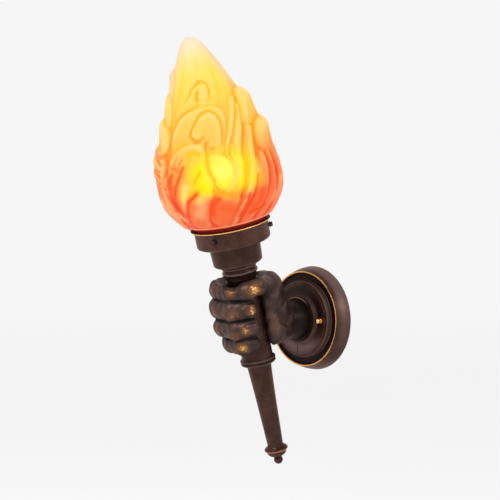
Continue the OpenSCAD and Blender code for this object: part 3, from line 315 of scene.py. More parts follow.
class Clay:
    """A block of distances to a surface on the torch's axes (side, wall, level), in millimetres."""

    def __init__(self, low, high, pitch):
        self.low, self.pitch = np.array(low, float), pitch
        spans = [np.arange(a, b, pitch, dtype=np.float32) for a, b in zip(low, high)]
        self.side, self.wall, self.level = np.meshgrid(*spans, indexing="ij")
        self.radius = np.hypot(self.side, self.wall)
        self.angle = np.degrees(np.arctan2(self.side, -self.wall))

    def cone(self, start, end, r_start, r_end, squeeze=1.0):
        """Distance to a rounded cone; squeeze over 1 makes it narrower along the torch."""
        a, b = np.array(start, np.float32), np.array(end, np.float32)
        along = b - a
        along[2] *= squeeze
        dx, dy = self.side - a[0], self.wall - a[1]
        dz = (self.level - a[2]) * squeeze
        reach = max(float(along @ along), 1e-6)
        t = np.clip((dx * along[0] + dy * along[1] + dz * along[2]) / reach, 0, 1)
        gap = np.sqrt((dx - t * along[0]) ** 2 + (dy - t * along[1]) ** 2 + (dz - t * along[2]) ** 2)
        return gap - (r_start + t * (r_end - r_start))

    def skin(self, field):
        """Surface nets: one vertex in each cell that the surface crosses, quads between them."""
        inside = field < 0
        shape = np.array(field.shape) - 1
        total = np.zeros((*shape, 3), np.float32)
        count = np.zeros(shape, np.float32)
        for axis in range(3):
            for i in (0, 1):
                for j in (0, 1):
                    first = [slice(i, i + shape[0]), slice(i, i + shape[1]), slice(i, i + shape[2])]
                    u, w = [k for k in range(3) if k != axis]
                    first[u], first[w] = slice(i, i + shape[u]), slice(j, j + shape[w])
                    first[axis] = slice(0, shape[axis])
                    second = list(first)
                    second[axis] = slice(1, shape[axis] + 1)
                    f0, f1 = field[tuple(first)], field[tuple(second)]
                    cut = inside[tuple(first)] != inside[tuple(second)]
                    t = f0[cut] / (f0[cut] - f1[cut])
                    offset = np.zeros((len(t), 3), np.float32)
                    offset[:, axis], offset[:, u], offset[:, w] = t, i, j
                    total[cut] += offset
                    count[cut] += 1
        used = count > 0
        index = np.full(shape, -1)
        index[used] = np.arange(used.sum())
        points = (np.argwhere(used) + total[used] / count[used][:, None]) * self.pitch + self.low
        quads = []
        for axis in range(3):
            u, w = (axis + 1) % 3, (axis + 2) % 3
            first = [slice(1, -1)] * 3
            first[axis] = slice(0, -1)
            second = list(first)
            second[axis] = slice(1, None)
            f0, f1 = inside[tuple(first)], inside[tuple(second)]
            for flip, cut in ((False, f0 & ~f1), (True, f1 & ~f0)):
                cell = np.argwhere(cut)
                cell[:, u] += 1
                cell[:, w] += 1
                corners = []
                for du, dw in ((0, 0), (1, 0), (1, 1), (0, 1)):
                    c = cell.copy()
                    c[:, u] -= du
                    c[:, w] -= dw
                    corners.append(index[c[:, 0], c[:, 1], c[:, 2]])
                quads.append(np.stack(corners[::-1] if flip else corners, 1))
        return points, np.concatenate(quads)

    def read(self, field, points):
        """Value of a field at points, from the eight corners around each."""
        spot = (points - self.low) / self.pitch
        base = np.clip(np.floor(spot).astype(int), 0, np.array(field.shape) - 2)
        f = np.clip(spot - base, 0, 1)
        out = 0
        for i in (0, 1):
            for j in (0, 1):
                for k in (0, 1):
                    share = (f[:, 0] if i else 1 - f[:, 0]) * (f[:, 1] if j else 1 - f[:, 1])
                    share = share * (f[:, 2] if k else 1 - f[:, 2])
                    out = out + share * field[base[:, 0] + i, base[:, 1] + j, base[:, 2] + k]
        return out


def melt(a, b, k):
    """Union with a fillet about k millimetres wide; a negative k gives what both hold instead."""
    if k < 0:
        return -melt(-a, -b, -k)
    h = np.clip(0.5 + 0.5 * (b - a) / k, 0, 1)
    return b + (a - b) * h - k * h * (1 - h)


def at(a, r, s):
    """Point round the torch: angle from the room side towards the palm, radius, level."""
    return r * math.sin(math.radians(a)), -r * math.cos(math.radians(a)), s


def hill(x, width):
    """1 at x = 0, falling smoothly on both sides."""
    return np.exp(-((x / width) ** 2))


GRIP = 15.9  # radius of the torch inside the fist
# Fingers, little one first: level at the knuckle and at the tip, half thickness along the
# torch, girth share, angle of the tip
FINGERS = [
    (-17.7, -15.2, 9.5, 0.74, 47),
    (0.9, 1.6, 10.1, 0.985, 50),
    (20.75, 21.0, 10.8, 1.0, 51),
    (39.8, 38.6, 9.8, 0.83, 30),
]
# Along a finger: angle, radius of the bone line, girth. It starts at the knuckle.
BONES = [
    (-122, 24.4, 10.6), (-108, 24.6, 10.0), (-92, 24.3, 9.4), (-70, 25.2, 9.1), (-48, 27.6, 10.3),
    (-30, 25.8, 9.1), (-8, 24.0, 8.5), (14, 25.3, 9.7), (32, 24.2, 8.6),
]


def model_finger(clay, base, tip, half, share, end):
    """One finger closed round the torch, with wrinkles over its two joints and its nail."""
    knuckle_angle, finger_turn, bed = -122, 170, GRIP - 0.6
    chain = []
    for a, r, girth in BONES:
        if a < end:
            s = base + (tip - base) * (a - knuckle_angle) / finger_turn
            chain.append((at(a, bed + (r - bed) * share, s), girth * share))
    chain.append((at(end, bed + 8.1 * share, tip), 8.4 * share))
    finger = None
    for (p, girth), (q, next_girth) in zip(chain, chain[1:]):
        link = clay.cone(p, q, girth, next_girth, squeeze=girth / half)
        finger = link if finger is None else melt(finger, link, 1.6)
    middle = base + (tip - base) * np.clip((clay.angle - knuckle_angle) / finger_turn, 0, 1)
    across = clay.level - middle
    for joint in (-48, 14):
        for shift in (-3.2, 2.2):
            wrinkle = hill(clay.angle - joint - shift - 0.02 * across ** 2, 1.4) * hill(across, 5)
            finger += 0.12 * wrinkle
    # the thumb covers the index finger's nail
    if end > 40:
        u, w = (clay.angle - end - 3) / 14.5, across / (half * 0.56)
        q = np.sqrt(np.clip(np.abs(u) ** 2.6 + np.abs(w) ** 2.6, 1e-4, 9))
        outer_side = clay.radius > 22
        finger -= np.where(outer_side, 0.55 * np.clip((1 - q) / 0.22, 0, 1), 0)
        finger += np.where(outer_side, 0.5 * hill(q - 1.1, 0.13) * (u < 0.75), 0)
    return finger


def model_thumb(clay):
    """The thumb: out of the wrist, over the palm side, its tip on the index finger."""
    root, knuckle = (6, 37, 4), (13.5, 23, 33.5)
    joint, pad, end = at(84, 25.4, 41.4), at(58, 25.6, 39.6), at(30, 24.6, 38)
    thumb = melt(clay.cone(root, knuckle, 12, 11), clay.cone(knuckle, joint, 11, 9.0), 6)
    return melt(thumb, melt(clay.cone(joint, pad, 9.2, 9.4), clay.cone(pad, end, 9.2, 8), 3), 2.5)


def model_palm(clay):
    """The rest of the hand: its back with a bone and a knuckle to each finger, the ball of
    the thumb, the heel, the edge on the torch, the web to the thumb, and the wrist."""
    back = None
    for i, (base, _, _, share, _) in enumerate(FINGERS):
        near_wrist = (-7 + i, 40, -14 + i * 3.2)
        bone = clay.cone(at(-120, 24.6, base - 0.5), near_wrist, 10.2 * (0.85 + 0.15 * share), 10.5)
        back = bone if back is None else melt(back, bone, 3.2)
        back = melt(back, clay.cone(at(-116, 27.2, base), at(-140, 27.5, base - 1), 7.6, 5.5), 3)
    thenar = clay.cone((18.5, 15.5, 24), (8, 36, -4), 10.2, 12.5)
    thenar = melt(thenar, clay.cone((20.5, 12, 20), (15, 24, 8), 6.2, 10), 4)
    heel = clay.cone((19, 15.5, -13), (5, 36, -16), 10.4, 12.5)
    heel = melt(heel, clay.cone((20.6, 11.5, 4), (20, 12.3, -17), 5.7, 6.0), 4)
    edge = clay.cone((20.6, 11.0, 24), (20.2, 11.5, -18), 4.6, 5.2)
    edge = melt(edge, clay.cone((20.3, 7.2, 27), (20.0, 7.6, -22), 1.8, 2.0), 1.5)
    edge = melt(edge, clay.cone((15, 17, 4), (9, 32, -6), 10.5, 13), 4)
    web = clay.cone((13, 23, 38), at(-150, 23, 36), 9.5, 10.5)
    web = melt(web, clay.cone((0, 30, 34), (0, 40, -6), 11, 14.5), 6)
    wrist = clay.cone((0, 36, -8), (0, 43.5, -11.6), 15.5, 16.4)
    palm = melt(back, melt(melt(thenar, heel, 5), edge, 4), 6)
    palm = melt(palm, melt(web, wrist, 6), 5)
    crease = hill(clay.level - 8 - 0.35 * (clay.wall - 12), 1.6)
    return palm + 0.5 * crease * (clay.side > 8) * (clay.radius > 22)


def model_fist(pitch):
    """The hand as a field of distances, hollowed for the torch and cut flat at the cuff."""
    clay = Clay((-40, -42, -34), (38, 52, 58), pitch)
    angle, level, radius = clay.angle, clay.level, clay.radius
    fingers = None
    for sizes in FINGERS:
        finger = model_finger(clay, *sizes)
        fingers = finger if fingers is None else np.minimum(fingers, finger)
    hand = melt(model_palm(clay), model_thumb(clay), 3.2)
    hand = melt(hand, fingers, 1.2)
    hand = melt(hand, GRIP - radius, -0.7)
    # hollow round the torch at the fist's top, and the dip in front of it
    hand = melt(hand, (18 + (level - 42) * 1.1 - radius) * 0.67, -2.5)
    dip = 54 - 9.5 * np.exp(-((angle - 24) / 24) ** 4)
    hand = melt(hand, level - dip, -3)
    # lumps left by the modeller's fingers in the wax
    waves = np.sin(clay.side * 0.46 + 1) * np.sin(clay.wall * 0.41 + 2) * np.sin(level * 0.52 + 0.5)
    hand += 0.32 * waves
    # flat end in the plane of the cuff
    y = clay.wall * COS - level * SIN - REACH
    return clay, melt(hand, y + 45.7, -1.2)


def to_world(points):
    """Torch axes in millimetres to world metres."""
    side, wall, level = points[:, 0], points[:, 1], points[:, 2]
    return np.stack([side, wall * COS - level * SIN - REACH, wall * SIN + level * COS], 1) / 1000


def build(name, points, faces, body, slot, replaced, **values):
    """A smooth mesh piece with per-vertex values, riding on a body."""
    mesh = bpy.data.meshes.new(name)
    mesh.from_pydata(points.tolist(), [], faces)
    mesh.shade_smooth()
    for key, value in values.items():
        layer = mesh.attributes.new(key, "FLOAT", "POINT")
        layer.data.foreach_set("value", np.asarray(value, np.float32))
    piece = bpy.data.objects.new(name, mesh)
    bpy.context.collection.objects.link(piece)
    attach(piece, body)
    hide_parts(replaced)
    return piece


clay, fist = model_fist(0.6)
points, quads = clay.skin(fist)
outward = np.stack([clay.read(fist, points + o) - clay.read(fist, points - o) for o in np.eye(3) * 0.8], 1)
outward /= np.linalg.norm(outward, axis=1)[:, None] + 1e-9
# painted shade: how little room the surface has in front of it, less where it looks up
crowd = sum((h - clay.read(fist, points + outward * h)) / h for h in (1.5, 3.0, 6.0)) / 3
hollow = np.clip(crowd * 1.7 - 0.22 * outward[:, 2], 0, 1)
# Where the casting is rubbed: [angle, level, width in degrees, height, strength]
RUBBED = [
    (-34, 40, 7, 6, 0.6), (24, 41, 8, 4, 0.75), (68, 40, 13, 7, 1.0), (-116, 40, 9, 6, 0.7),
    (-24, 19, 8, 6, 0.6), (22, 18, 10, 5, 0.6), (58, 19, 9, 6, 0.95), (-118, 20, 9, 6, 0.75),
    (-28, 1, 8, 5, 0.5), (17, -5, 14, 5, 0.6), (39, 1, 8, 5, 0.85), (-118, 0, 9, 6, 0.7),
    (-12, -20, 8, 5, 0.5), (26, -17, 12, 5, 0.95), (-116, -18, 8, 5, 0.6),
    (130, 30, 10, 7, 0.25), (118, -2, 12, 7, 0.3),
]
spot_angle = np.degrees(np.arctan2(points[:, 0], -points[:, 1]))
rubbed = np.zeros(len(points))
for a, s, wide, high, strength in RUBBED:
    rubbed = np.maximum(rubbed, strength * hill(spot_angle - a, wide) * hill(points[:, 2] - s, high))
hand = build(
    "fist", to_world(points), quads.tolist(), "sconce", "bronze_cast", "hand", hollow=hollow, rubbed=rubbed
)

cast = Finish("cast_bronze", Specular_IOR_Level=0.4, Specular_Tint=(1, 0.8, 0.74))
wear_at, dip = cast.attribute("rubbed"), cast.attribute("hollow")
flecks = cast.noise(1.6, 3.0, 0.7)
clouds = cast.noise(14, 4.0, 0.6, 3.0)
grit = cast.noise(1.2, 1.0, 0.5, 4.0)
gold = (wear_at * 1.1 + (flecks - 0.5) * 2.2 + (grit - 0.5) * 2.6 - 0.7).step(0.0, 0.6)
bronze = cast.mix(clouds.step(0.35, 0.7), (0.03, 0.0165, 0.0145), (0.064, 0.036, 0.031))
bronze = cast.mix((wear_at * 1.5 + (clouds - 0.5) * 0.8).limit() * 0.7, bronze, (0.17, 0.07, 0.028))
# painted shade in the creases and hollows of the fist
bronze = cast.mix((dip * 1.6).limit(), bronze, (0.008, 0.006, 0.006))
leaf_gold = cast.mix(wear_at.step(0.5, 0.95), (0.42, 0.17, 0.05), (0.74, 0.4, 0.12))
cast.set("Base Color", cast.mix(gold, bronze, leaf_gold))
cast.set("Metallic", 0.55 + gold * 0.4)
cast.set("Roughness", 0.36 + clouds * 0.16 - gold * 0.12 + dip * 0.2)
cast.bump(cast.noise(2.2, 3.0, 0.6, 1.0) * 0.6 + cast.noise(9, 2.0, 0.5, 2.0), 0.4)
cast.wear(hand)


# ---- Torch handle ----
# Hollow casting, turned outside: grip, a double ring under the fist and a long tapered
# shaft. The hand closes on it, and its lacquer shows faint marks along the turning.
handle, dark = lacquer("handle_lacquer", 7.0, 0.72, 0.34)
r, level, v = handle.torch_axes()
inputs = {"W": level * 1.7, "Scale": 1.0, "Detail": 3.0, "Roughness": 0.6}
turned = handle.start.node("TexNoise", {"noise_dimensions": "1D"}, inputs)
ring_edge = level.bell(-41.6, 0.9) + level.bell(-36.6, 0.9)
dark = handle.mix(ring_edge * (r - 15).limit() * 0.55, dark, (0.17, 0.105, 0.09))
# painted shadow inside the top of the fist and in the groove between the two rings
fist_shadow = level.step(36, 41) * (1 - level.step(46.5, 48))
dark = handle.mix((level.bell(-38.9, 1.3) * 0.9 + fist_shadow).limit(), dark, (0.005, 0.003, 0.003))
dark = handle.mix(turned.step(0.5, 0.9) * 0.25, dark, (0.11, 0.06, 0.05))
gild(handle, dark, (-level).bell(39, 5) * (r - 17).limit() * 0.08)
handle.bump(turned, 0.08)
handle.wear("torch_handle")


# ---- Finial ----
# Small turned piece below the shaft: a disc whose edge is rubbed to copper, a cup-shaped
# underside and a ball at the very end. It screws into the shaft.
tip, dark = lacquer("finial_lacquer", 9.0, 0.85, 0.34)
r, level, v = tip.torch_axes()
gild(tip, dark, (r - 10.2).limit() * level.bell(-135.4, 1.4) * 0.55, (0.3, 0.12, 0.055))
tip.wear("finial")


# ---- Neck ----
# Turned neck with two beads between fist and cup. Where it is narrow it is darkened as painted shade, and
# the beads are paler, a dull brown.
neck, dark = lacquer("neck_lacquer", 11.0, 0.7, 0.32)
r, level, v = neck.torch_axes()
# painted shade where the neck is narrow
dark = neck.mix((1 - (r - 14.2).limit(0, 2.5) * 0.4) * 0.8, dark, (0.006, 0.004, 0.004))
dark = neck.mix((r - 17).limit() * 0.6, dark, (0.15, 0.09, 0.08))
gild(neck, dark, (r - 17.3).limit() * level.bell(60, 2.4) * 0.4)
neck.wear("torch_neck")


# ---- Socket cup ----
# Drawn sheet cup that hides the lampholder's foot, lacquered like the rest. The tube nut
# clamps its floor on the neck.
cup, dark = lacquer("cup_lacquer", 13.0, 0.8, 0.36)
r, level, v = cup.torch_axes()
dark = cup.mix(level.bell(63.4, 1.8) * 0.5, dark, (0.16, 0.1, 0.09))
# painted shade under the gallery's floor
dark = cup.mix(level.bell(84, 2.2) * 0.7, dark, (0.008, 0.005, 0.005))
gild(cup, dark, level.bell(90, 2) * 0.1)
cup.wear("socket_cup")


# ---- Shade gallery ----
# Spun ring that carries the glass, with three tapped holes. The edge of its rolled lip is
# gilt by hand and catches the flame's light.
gallery, dark = lacquer("gallery_lacquer", 15.0, 1.05, 0.36)
r, level, v = gallery.torch_axes()
dark = gallery.mix(level.bell(84.3, 1.6) * 0.5, dark, (0.14, 0.09, 0.08))
# painted shade inside the gallery, tinted red as a painted reflection of the glass
dark = gallery.mix((1 - (r - 35.2).limit()) * 0.8, dark, (0.05, 0.012, 0.006))
lip = level.bell(102.5, 1.35) * (r - 37.6).limit()
# painted reflection of the red glass on the top of the lip
dark = gallery.mix((r - 38.2).limit() * (level - 103.2).limit() * 0.9, dark, (0.09, 0.02, 0.01))
gild(gallery, dark, lip * 1.3, (0.86, 0.47, 0.15))
gallery.wear("shade_gallery")


# ---- Shade screws ----
# Three slotted steel screws, browned, through the gallery. Their tips stand just off the
# glass's neck and keep it in place.
screw = Finish("browned_screw", Specular_IOR_Level=0.3, Metallic=0.7)
rust = screw.noise(1.1, 3.0, 0.6, 3.0)
screw.set("Base Color", screw.mix(rust.step(0.4, 0.75), (0.022, 0.013, 0.011), (0.11, 0.06, 0.045)))
screw.set("Roughness", 0.3 + rust * 0.25)
screw.bump(rust, 0.06)
screw.wear("shade_screw_1", "shade_screw_2", "shade_screw_3")


# ---- Flame glass ----
# A blown and pressed glass flame, frosted, and painted inside from red at the foot to
# cream at the tip. Its leaves lap over each other like scales. It stands on a gasket in
# the gallery, where three screws hold its neck, and glows from the lamp inside.
SHOULDER, TOP = 104.8, 290.3  # levels of the glass above its neck
# Radius of the body under the leaves: [level, radius]
CORE = [
    (104.8, 36.6), (107, 39.5), (110, 42.6), (117.2, 48.5), (125.2, 53.6), (132.4, 56.6),
    (143.6, 58.2), (156.7, 57.6),
    (169.9, 55.2), (181, 52.2), (192.2, 48.8), (203.3, 45.2), (214.1, 41.0), (224.1, 37.6),
    (235, 32.8), (245, 28.6),
    (258, 23.1), (261.9, 21.5), (271.2, 17.2), (278.1, 13.4), (283.1, 10.4), (286.6, 7.6), (289, 4.4),
    (290.3, 0.7),
]
# Leaves of the face, the upper ones first: height at the low level, height at the high
# level, those two levels, outline as an (angle, level) loop. They come on the far side too,
# half a turn on. The side leaves come once.
LEAVES = [
    (0.8, 1.8, 148, 230, [
        (-4, 188), (-5, 199), (-2, 207), (3, 213), (9, 218), (16, 222), (24, 224), (32, 225),
        (41, 226), (52, 226), (63, 224), (70, 220), (72, 212), (69, 203), (64, 192), (59, 182),
        (48, 176), (25, 172), (8, 176),
    ]),
    (1.0, 2.0, 226, 245, [
        (40, 226), (41, 233), (42, 239), (45, 243), (50, 244), (55, 241), (56, 236), (53, 230),
        (49, 225),
    ]),
    (1.4, 3.0, 186, 222, [
        (42, 198), (38, 196), (33, 195), (28, 196), (24, 199), (22, 203), (24, 208), (28, 212),
        (33, 217), (39, 220), (46, 222), (54, 222), (61, 219), (65, 212), (66, 205), (64, 198),
        (61, 191), (57, 185), (51, 186), (45, 187), (43, 190), (43, 195),
    ]),
    (1.4, 3.0, 120, 196, [
        (32, 195), (21, 196), (12, 194), (4, 190), (-2, 186), (-7, 180), (-11, 172), (-13, 165),
        (-13, 157), (-10, 150), (-7, 144), (-3, 138), (0, 131), (3, 124), (8, 116), (22, 122),
        (34, 140), (41, 150), (45, 164), (44, 178), (42, 187), (38, 192),
    ]),
    (1.6, 3.6, 120, 188, [
        (34, 186), (29, 188), (24, 186), (20, 181), (17, 176), (13, 170), (9, 165), (5, 160), (1, 154),
        (-2, 148), (-2, 142), (0, 136), (3, 130), (6, 122), (12, 116), (28, 128), (38, 144), (42, 156),
        (40, 168), (39, 177), (38, 183),
    ]),
    (1.8, 3.4, 147, 182, [
        (42, 182), (40, 176), (40, 170), (41, 164), (43, 158), (45, 152), (48, 148), (52, 147),
        (56, 149), (60, 153), (63, 158), (64, 163), (64, 168), (62, 173), (59, 178), (54, 181),
        (48, 183),
    ]),
    (1.2, 2.8, 112, 150, [
        (3, 116), (8, 128), (11, 136), (14, 142), (18, 147), (23, 150), (29, 152), (35, 151),
        (40, 148), (41, 142), (38, 135), (34, 127), (30, 119), (26, 111), (10, 109),
    ]),
    (1.2, 2.8, 112, 146, [
        (30, 117), (32, 126), (34, 133), (37, 139), (41, 143), (47, 145), (53, 144), (58, 142),
        (64, 141), (65, 134), (62, 126), (57, 118), (52, 110), (38, 109),
    ]),
    (1.2, 2.2, 180, 230, [
        (88, 229), (80, 219), (73, 208), (67, 199), (63, 191), (60, 184), (61, 177), (65, 182),
        (69, 189), (74, 196), (80, 204), (86, 212), (94, 222), (98, 230),
    ]),
    (1.4, 2.8, 138, 224, [
        (94, 223), (86, 212), (79, 203), (73, 195), (67, 187), (64, 180), (65, 173), (66, 165),
        (65, 157), (61, 150), (57, 145), (58, 139), (64, 138), (69, 144), (73, 150), (76, 158),
        (77, 166), (77, 174), (79, 182), (84, 192), (90, 202), (96, 212), (101, 222),
    ]),
    (1.6, 3.0, 112, 200, [
        (95, 203), (88, 194), (82, 186), (78, 178), (77, 170), (76, 162), (74, 153), (70, 145),
        (65, 137), (59, 128), (53, 119), (50, 110), (58, 110), (64, 118), (69, 124), (74, 131),
        (79, 138), (83, 145), (86, 152), (88, 160), (90, 168), (93, 178), (98, 188), (104, 199),
    ]),
    (1.2, 2.4, 112, 174, [
        (97, 176), (92, 168), (89, 159), (86, 151), (83, 143), (79, 136), (74, 129), (68, 121),
        (62, 110), (74, 109), (83, 116), (90, 124), (95, 132), (99, 141), (102, 150), (104, 160),
        (104, 170), (102, 176),
    ]),
    (1.2, 2.4, 112, 174, [
        (105, 176), (106, 166), (105, 158), (102, 148), (98, 139), (93, 130), (87, 120), (84, 110),
        (97, 110), (104, 119), (109, 128), (112, 136), (114, 146), (115, 156), (115, 166), (114, 176),
    ]),
]
SIDE_LEAVES = [
    (2.0, 2.4, 112, 176, [
        (116, 178), (116, 160), (115, 148), (113, 137), (109, 127), (103, 117), (100, 109), (124, 108),
        (140, 110), (150, 121), (156, 134), (158, 148), (157, 164), (150, 176), (133, 180),
    ]),
    (0.8, 7.8, 186, 232, [
        (112, 235), (104, 230), (98, 222), (94, 214), (91, 206), (94, 200), (103, 197), (118, 196),
        (138, 196), (154, 199), (162, 208), (162, 219), (153, 229), (140, 234), (126, 236),
    ]),
    (0.0, 10.0, 160, 203, [
        (112, 204), (104, 198), (99, 191), (97, 182), (99, 175), (106, 171), (118, 169), (138, 168),
        (156, 171), (164, 180), (163, 191), (155, 200), (142, 205), (126, 206),
    ]),
    (1.0, 5.6, 227, 264, [
        (-66, 250), (-56, 259), (-42, 263), (-28, 259), (-18, 249), (-17, 236), (-26, 227), (-44, 225),
        (-60, 229), (-68, 240),
    ]),
    (1.4, 5.8, 201, 244, [
        (-73, 228), (-61, 239), (-42, 243), (-25, 239), (-12, 228), (-11, 214), (-22, 203), (-42, 200),
        (-62, 203), (-75, 215),
    ]),
    (2.9, 7.8, 179, 220, [
        (-75, 204), (-62, 215), (-42, 220), (-25, 216), (-11, 205), (-10, 192), (-22, 182), (-42, 178),
        (-62, 181), (-76, 192),
    ]),
    (2.4, 7.4, 77, 196, [
        (-82, 160), (-78, 176), (-66, 189), (-44, 195), (-24, 189), (-12, 176), (-7, 160), (-6, 140),
        (-10, 122), (-18, 108), (-44, 102), (-68, 107), (-79, 122), (-83, 140),
    ]),
]
# Strokes pressed into the leaves or standing on them: depth (minus) or height, half
# width, points as (angle, level). Those of the face come again half a turn on.
STROKES = [
    (-1.5, 1.7, [
        (13, 231), (22, 237), (28, 242), (37, 246), (45, 248), (53, 248), (59, 246), (61, 242),
        (59, 235), (55, 229),
    ]),
    (-1.3, 2.0, [(40, 241), (36, 236), (36, 231)]),
    (-1.3, 1.4, [
        (-6, 188), (-7, 197), (-5, 203), (-3, 208), (1, 213), (6, 218), (13, 221), (22, 224),
        (31, 225),
    ]),
    (-0.7, 1.2, [(-20, 199), (-11, 204), (-5, 211), (0, 217), (4, 220)]),
    (0.9, 2.4, [(0, 198), (3, 206), (9, 213), (16, 218), (25, 221)]),
    (-1.6, 2.0, [
        (42, 199), (39, 198), (35, 196), (30, 196), (26, 199), (24, 202), (26, 206), (29, 210),
        (34, 215), (39, 219), (46, 221), (54, 221), (60, 217), (63, 211), (63, 205), (62, 199),
        (60, 193), (58, 187),
    ]),
    (-1.6, 1.9, [(44, 195), (41, 192), (40, 188), (40, 184), (41, 180)]),
    (-1.0, 1.4, [(43, 187), (47, 187), (51, 188)]),
    (-1.1, 1.2, [(33, 168), (29, 165), (26, 161), (24, 157)]),
    (-0.9, 1.2, [(14, 183), (10, 178), (6, 173)]),
    (-0.9, 1.2, [(8, 185), (4, 180), (1, 175)]),
    (-0.9, 1.3, [(-12, 150), (-10, 157), (-6, 164), (0, 170)]),
    (0.8, 1.5, [(93, 227), (84, 216), (78, 208), (73, 201), (68, 194), (64, 189), (62, 183)]),
    (0.8, 1.5, [
        (82, 203), (77, 194), (74, 185), (73, 177), (73, 170), (71, 162), (69, 153), (64, 145),
    ]),
    (0.8, 1.5, [
        (96, 195), (89, 184), (86, 177), (84, 170), (84, 163), (82, 156), (78, 147), (73, 139),
        (67, 131), (61, 122), (56, 113),
    ]),
]
SIDE_STROKES = [
    (1.6, 3.2, [(-64, 189), (-52, 191), (-40, 190), (-30, 187), (-21, 183)]),
    (2.0, 3.4, [(-66, 179), (-53, 181), (-40, 180), (-28, 176), (-18, 171)]),
    (1.8, 3.6, [(-66, 168), (-53, 170), (-40, 169), (-28, 165), (-17, 160)]),
    (-0.9, 1.5, [(-62, 186), (-50, 187), (-38, 185), (-27, 182), (-18, 177)]),
    (-0.9, 1.5, [(-64, 175), (-52, 176), (-38, 175), (-27, 171), (-17, 165)]),
    (0.9, 2.0, [(112, 228), (104, 216), (101, 207)]),
    (-0.7, 1.5, [(128, 228), (126, 216), (128, 205)]),
    (-0.7, 1.5, [(126, 194), (123, 184), (125, 174)]),
    (-0.8, 1.4, [(136, 172), (138, 156), (134, 138), (124, 120)]),
]
# Strokes of paint: strength, half width, line. The red strokes lie along the left edges of leaves as
# painted shade, and the pale ones are painted light on the leaves.
TINTS = {
    "red": [
        (0.6, 1, [(-11, 153), (-13, 160), (-11, 169), (-7, 176)]),
        (0.75, 1.3, [(-10, 150), (-7, 141), (-3, 133), (-2, 124)]),
        (0.85, 2.3, [(-6, 155), (-5, 161), (-2, 167)]),
        (0.6, 1.8, [(0, 174), (4, 173), (9, 171)]),
        (0.85, 1.9, [(-1, 142), (0, 150), (4, 158), (9, 166), (14, 174)]),
        (0.95, 2.6, [(8, 126), (12, 135), (15, 141), (21, 145), (25, 148)]),
        (0.95, 4.2, [(35, 127), (37, 134), (40, 138), (44, 140)]),
        (0.5, 7, [(44, 133), (51, 130), (57, 127)]),
        (1, 2.4, [(74, 138), (71, 131), (67, 125), (62, 119)]),
        (1, 2.6, [(74, 120), (82, 121), (91, 123)]),
        (0.4, 5, [(112, 160), (112, 148), (108, 138)]),
        (0.75, 5, [(90, 138), (85, 129), (79, 125)]),
        (0.75, 3.5, [(-45, 168), (-41, 152), (-36, 138), (-28, 124)]),
        (0.6, 4.5, [(-100, 170), (-102, 152), (-97, 136), (-90, 122)]),
    ],
    "amber": [
        (0.95, 2.2, [(44, 158), (41, 166), (40, 175), (41, 183)]),
        (0.9, 1.2, [(24, 158), (28, 163), (32, 168)]),
        (0.85, 2.4, [(17, 145), (22, 150), (28, 151)]),
        (0.85, 2.6, [(44, 144), (50, 143), (57, 141), (62, 137)]),
        (0.6, 1.5, [(21, 196), (10, 193), (1, 188), (-5, 182), (-9, 175)]),
        (0.7, 1.5, [(73, 144), (76, 151), (78, 159), (78, 166)]),
        (0.8, 3, [(21, 185), (28, 186), (33, 184)]),
        (0.7, 2.2, [(74, 162), (73, 152), (67, 144), (61, 139)]),
    ],
    "pale": [
        (0.9, 4.6, [(15, 155), (11, 146), (10, 135)]),
        (0.85, 5.5, [(27, 141), (28, 134), (21, 127)]),
        (0.9, 4.5, [(-25, 139), (-14, 130), (-5, 123)]),
        (0.6, 4.5, [(121, 141), (116, 133), (108, 126)]),
        (0.8, 1.1, [(84, 166), (79, 156), (75, 145), (71, 139)]),
        (0.6, 3, [(89, 167), (88, 158)]),
        (0.6, 2.5, [(68, 172), (67, 162), (62, 153), (56, 147)]),
        (0.7, 7, [(-72, 160), (-70, 146), (-66, 132)]),
    ],
}


def smooth_curve(corners, closed):
    """Smooth curve through the corners, four points to each stretch."""
    p = np.array(corners, float)
    if not closed:
        p = np.concatenate([2 * p[:1] - p[1:2], p, 2 * p[-1:] - p[-2:-1]])
    t = np.arange(0, 1, 0.25)[:, None]
    bends = []
    for a, b, c, d in zip(np.roll(p, 1, 0), p, np.roll(p, -1, 0), np.roll(p, -2, 0)):
        square, cube = 2 * a - 5 * b + 4 * c - d, 3 * b - a - 3 * c + d
        bends.append(0.5 * (2 * b + (c - a) * t + square * t ** 2 + cube * t ** 3))
    return np.concatenate(bends if closed else bends[1:-2] + [p[-2:-1]])


def line_gap(angle, level, line, span, closed):
    """Distance to a line in millimetres, negative inside a closed one, and how far along
    the line the nearest point is; span is the millimetres in a degree."""
    middle = line[:, 0].mean()
    u = ((angle - middle + 180) % 360 - 180) * span
    q = np.stack([(line[:, 0] - middle) * span, line[:, 1]], 1)
    near, share = np.full(u.shape, 1e9), np.zeros(u.shape)
    crossed = np.zeros(u.shape, bool)
    ends = np.roll(q, -1, 0) if closed else q[1:]
    for i, ((ax, ay), (bx, by)) in enumerate(zip(q, ends)):
        ex, ey = bx - ax, by - ay
        t = np.clip(((u - ax) * ex + (level - ay) * ey) / (ex * ex + ey * ey + 1e-9), 0, 1)
        gap = (u - ax - t * ex) ** 2 + (level - ay - t * ey) ** 2
        share = np.where(gap < near, (i + t) / len(ends), share)
        near = np.minimum(near, gap)
        if closed and abs(ey) > 1e-9:
            crossed ^= ((ay > level) != (by > level)) & (u < ax + ex * (level - ay) / ey)
    return np.where(crossed, -1, 1) * np.sqrt(near), share


def blur(field, rows, columns):
    """Soft average over a number of rows and columns; the columns run round the glass."""
    for reach, axis in ((rows, 0), (columns, 1)) * 3:
        margins = [(reach, reach) if k == axis else (0, 0) for k in (0, 1)]
        padded = np.pad(field, margins, mode="wrap" if axis else "edge")
        run = np.cumsum(np.insert(padded, 0, 0, axis), axis)
        size, last = 2 * reach + 1, run.shape[axis]
        sums = np.take(run, range(size, last), axis) - np.take(run, range(last - size), axis)
        field = sums / size
    return field


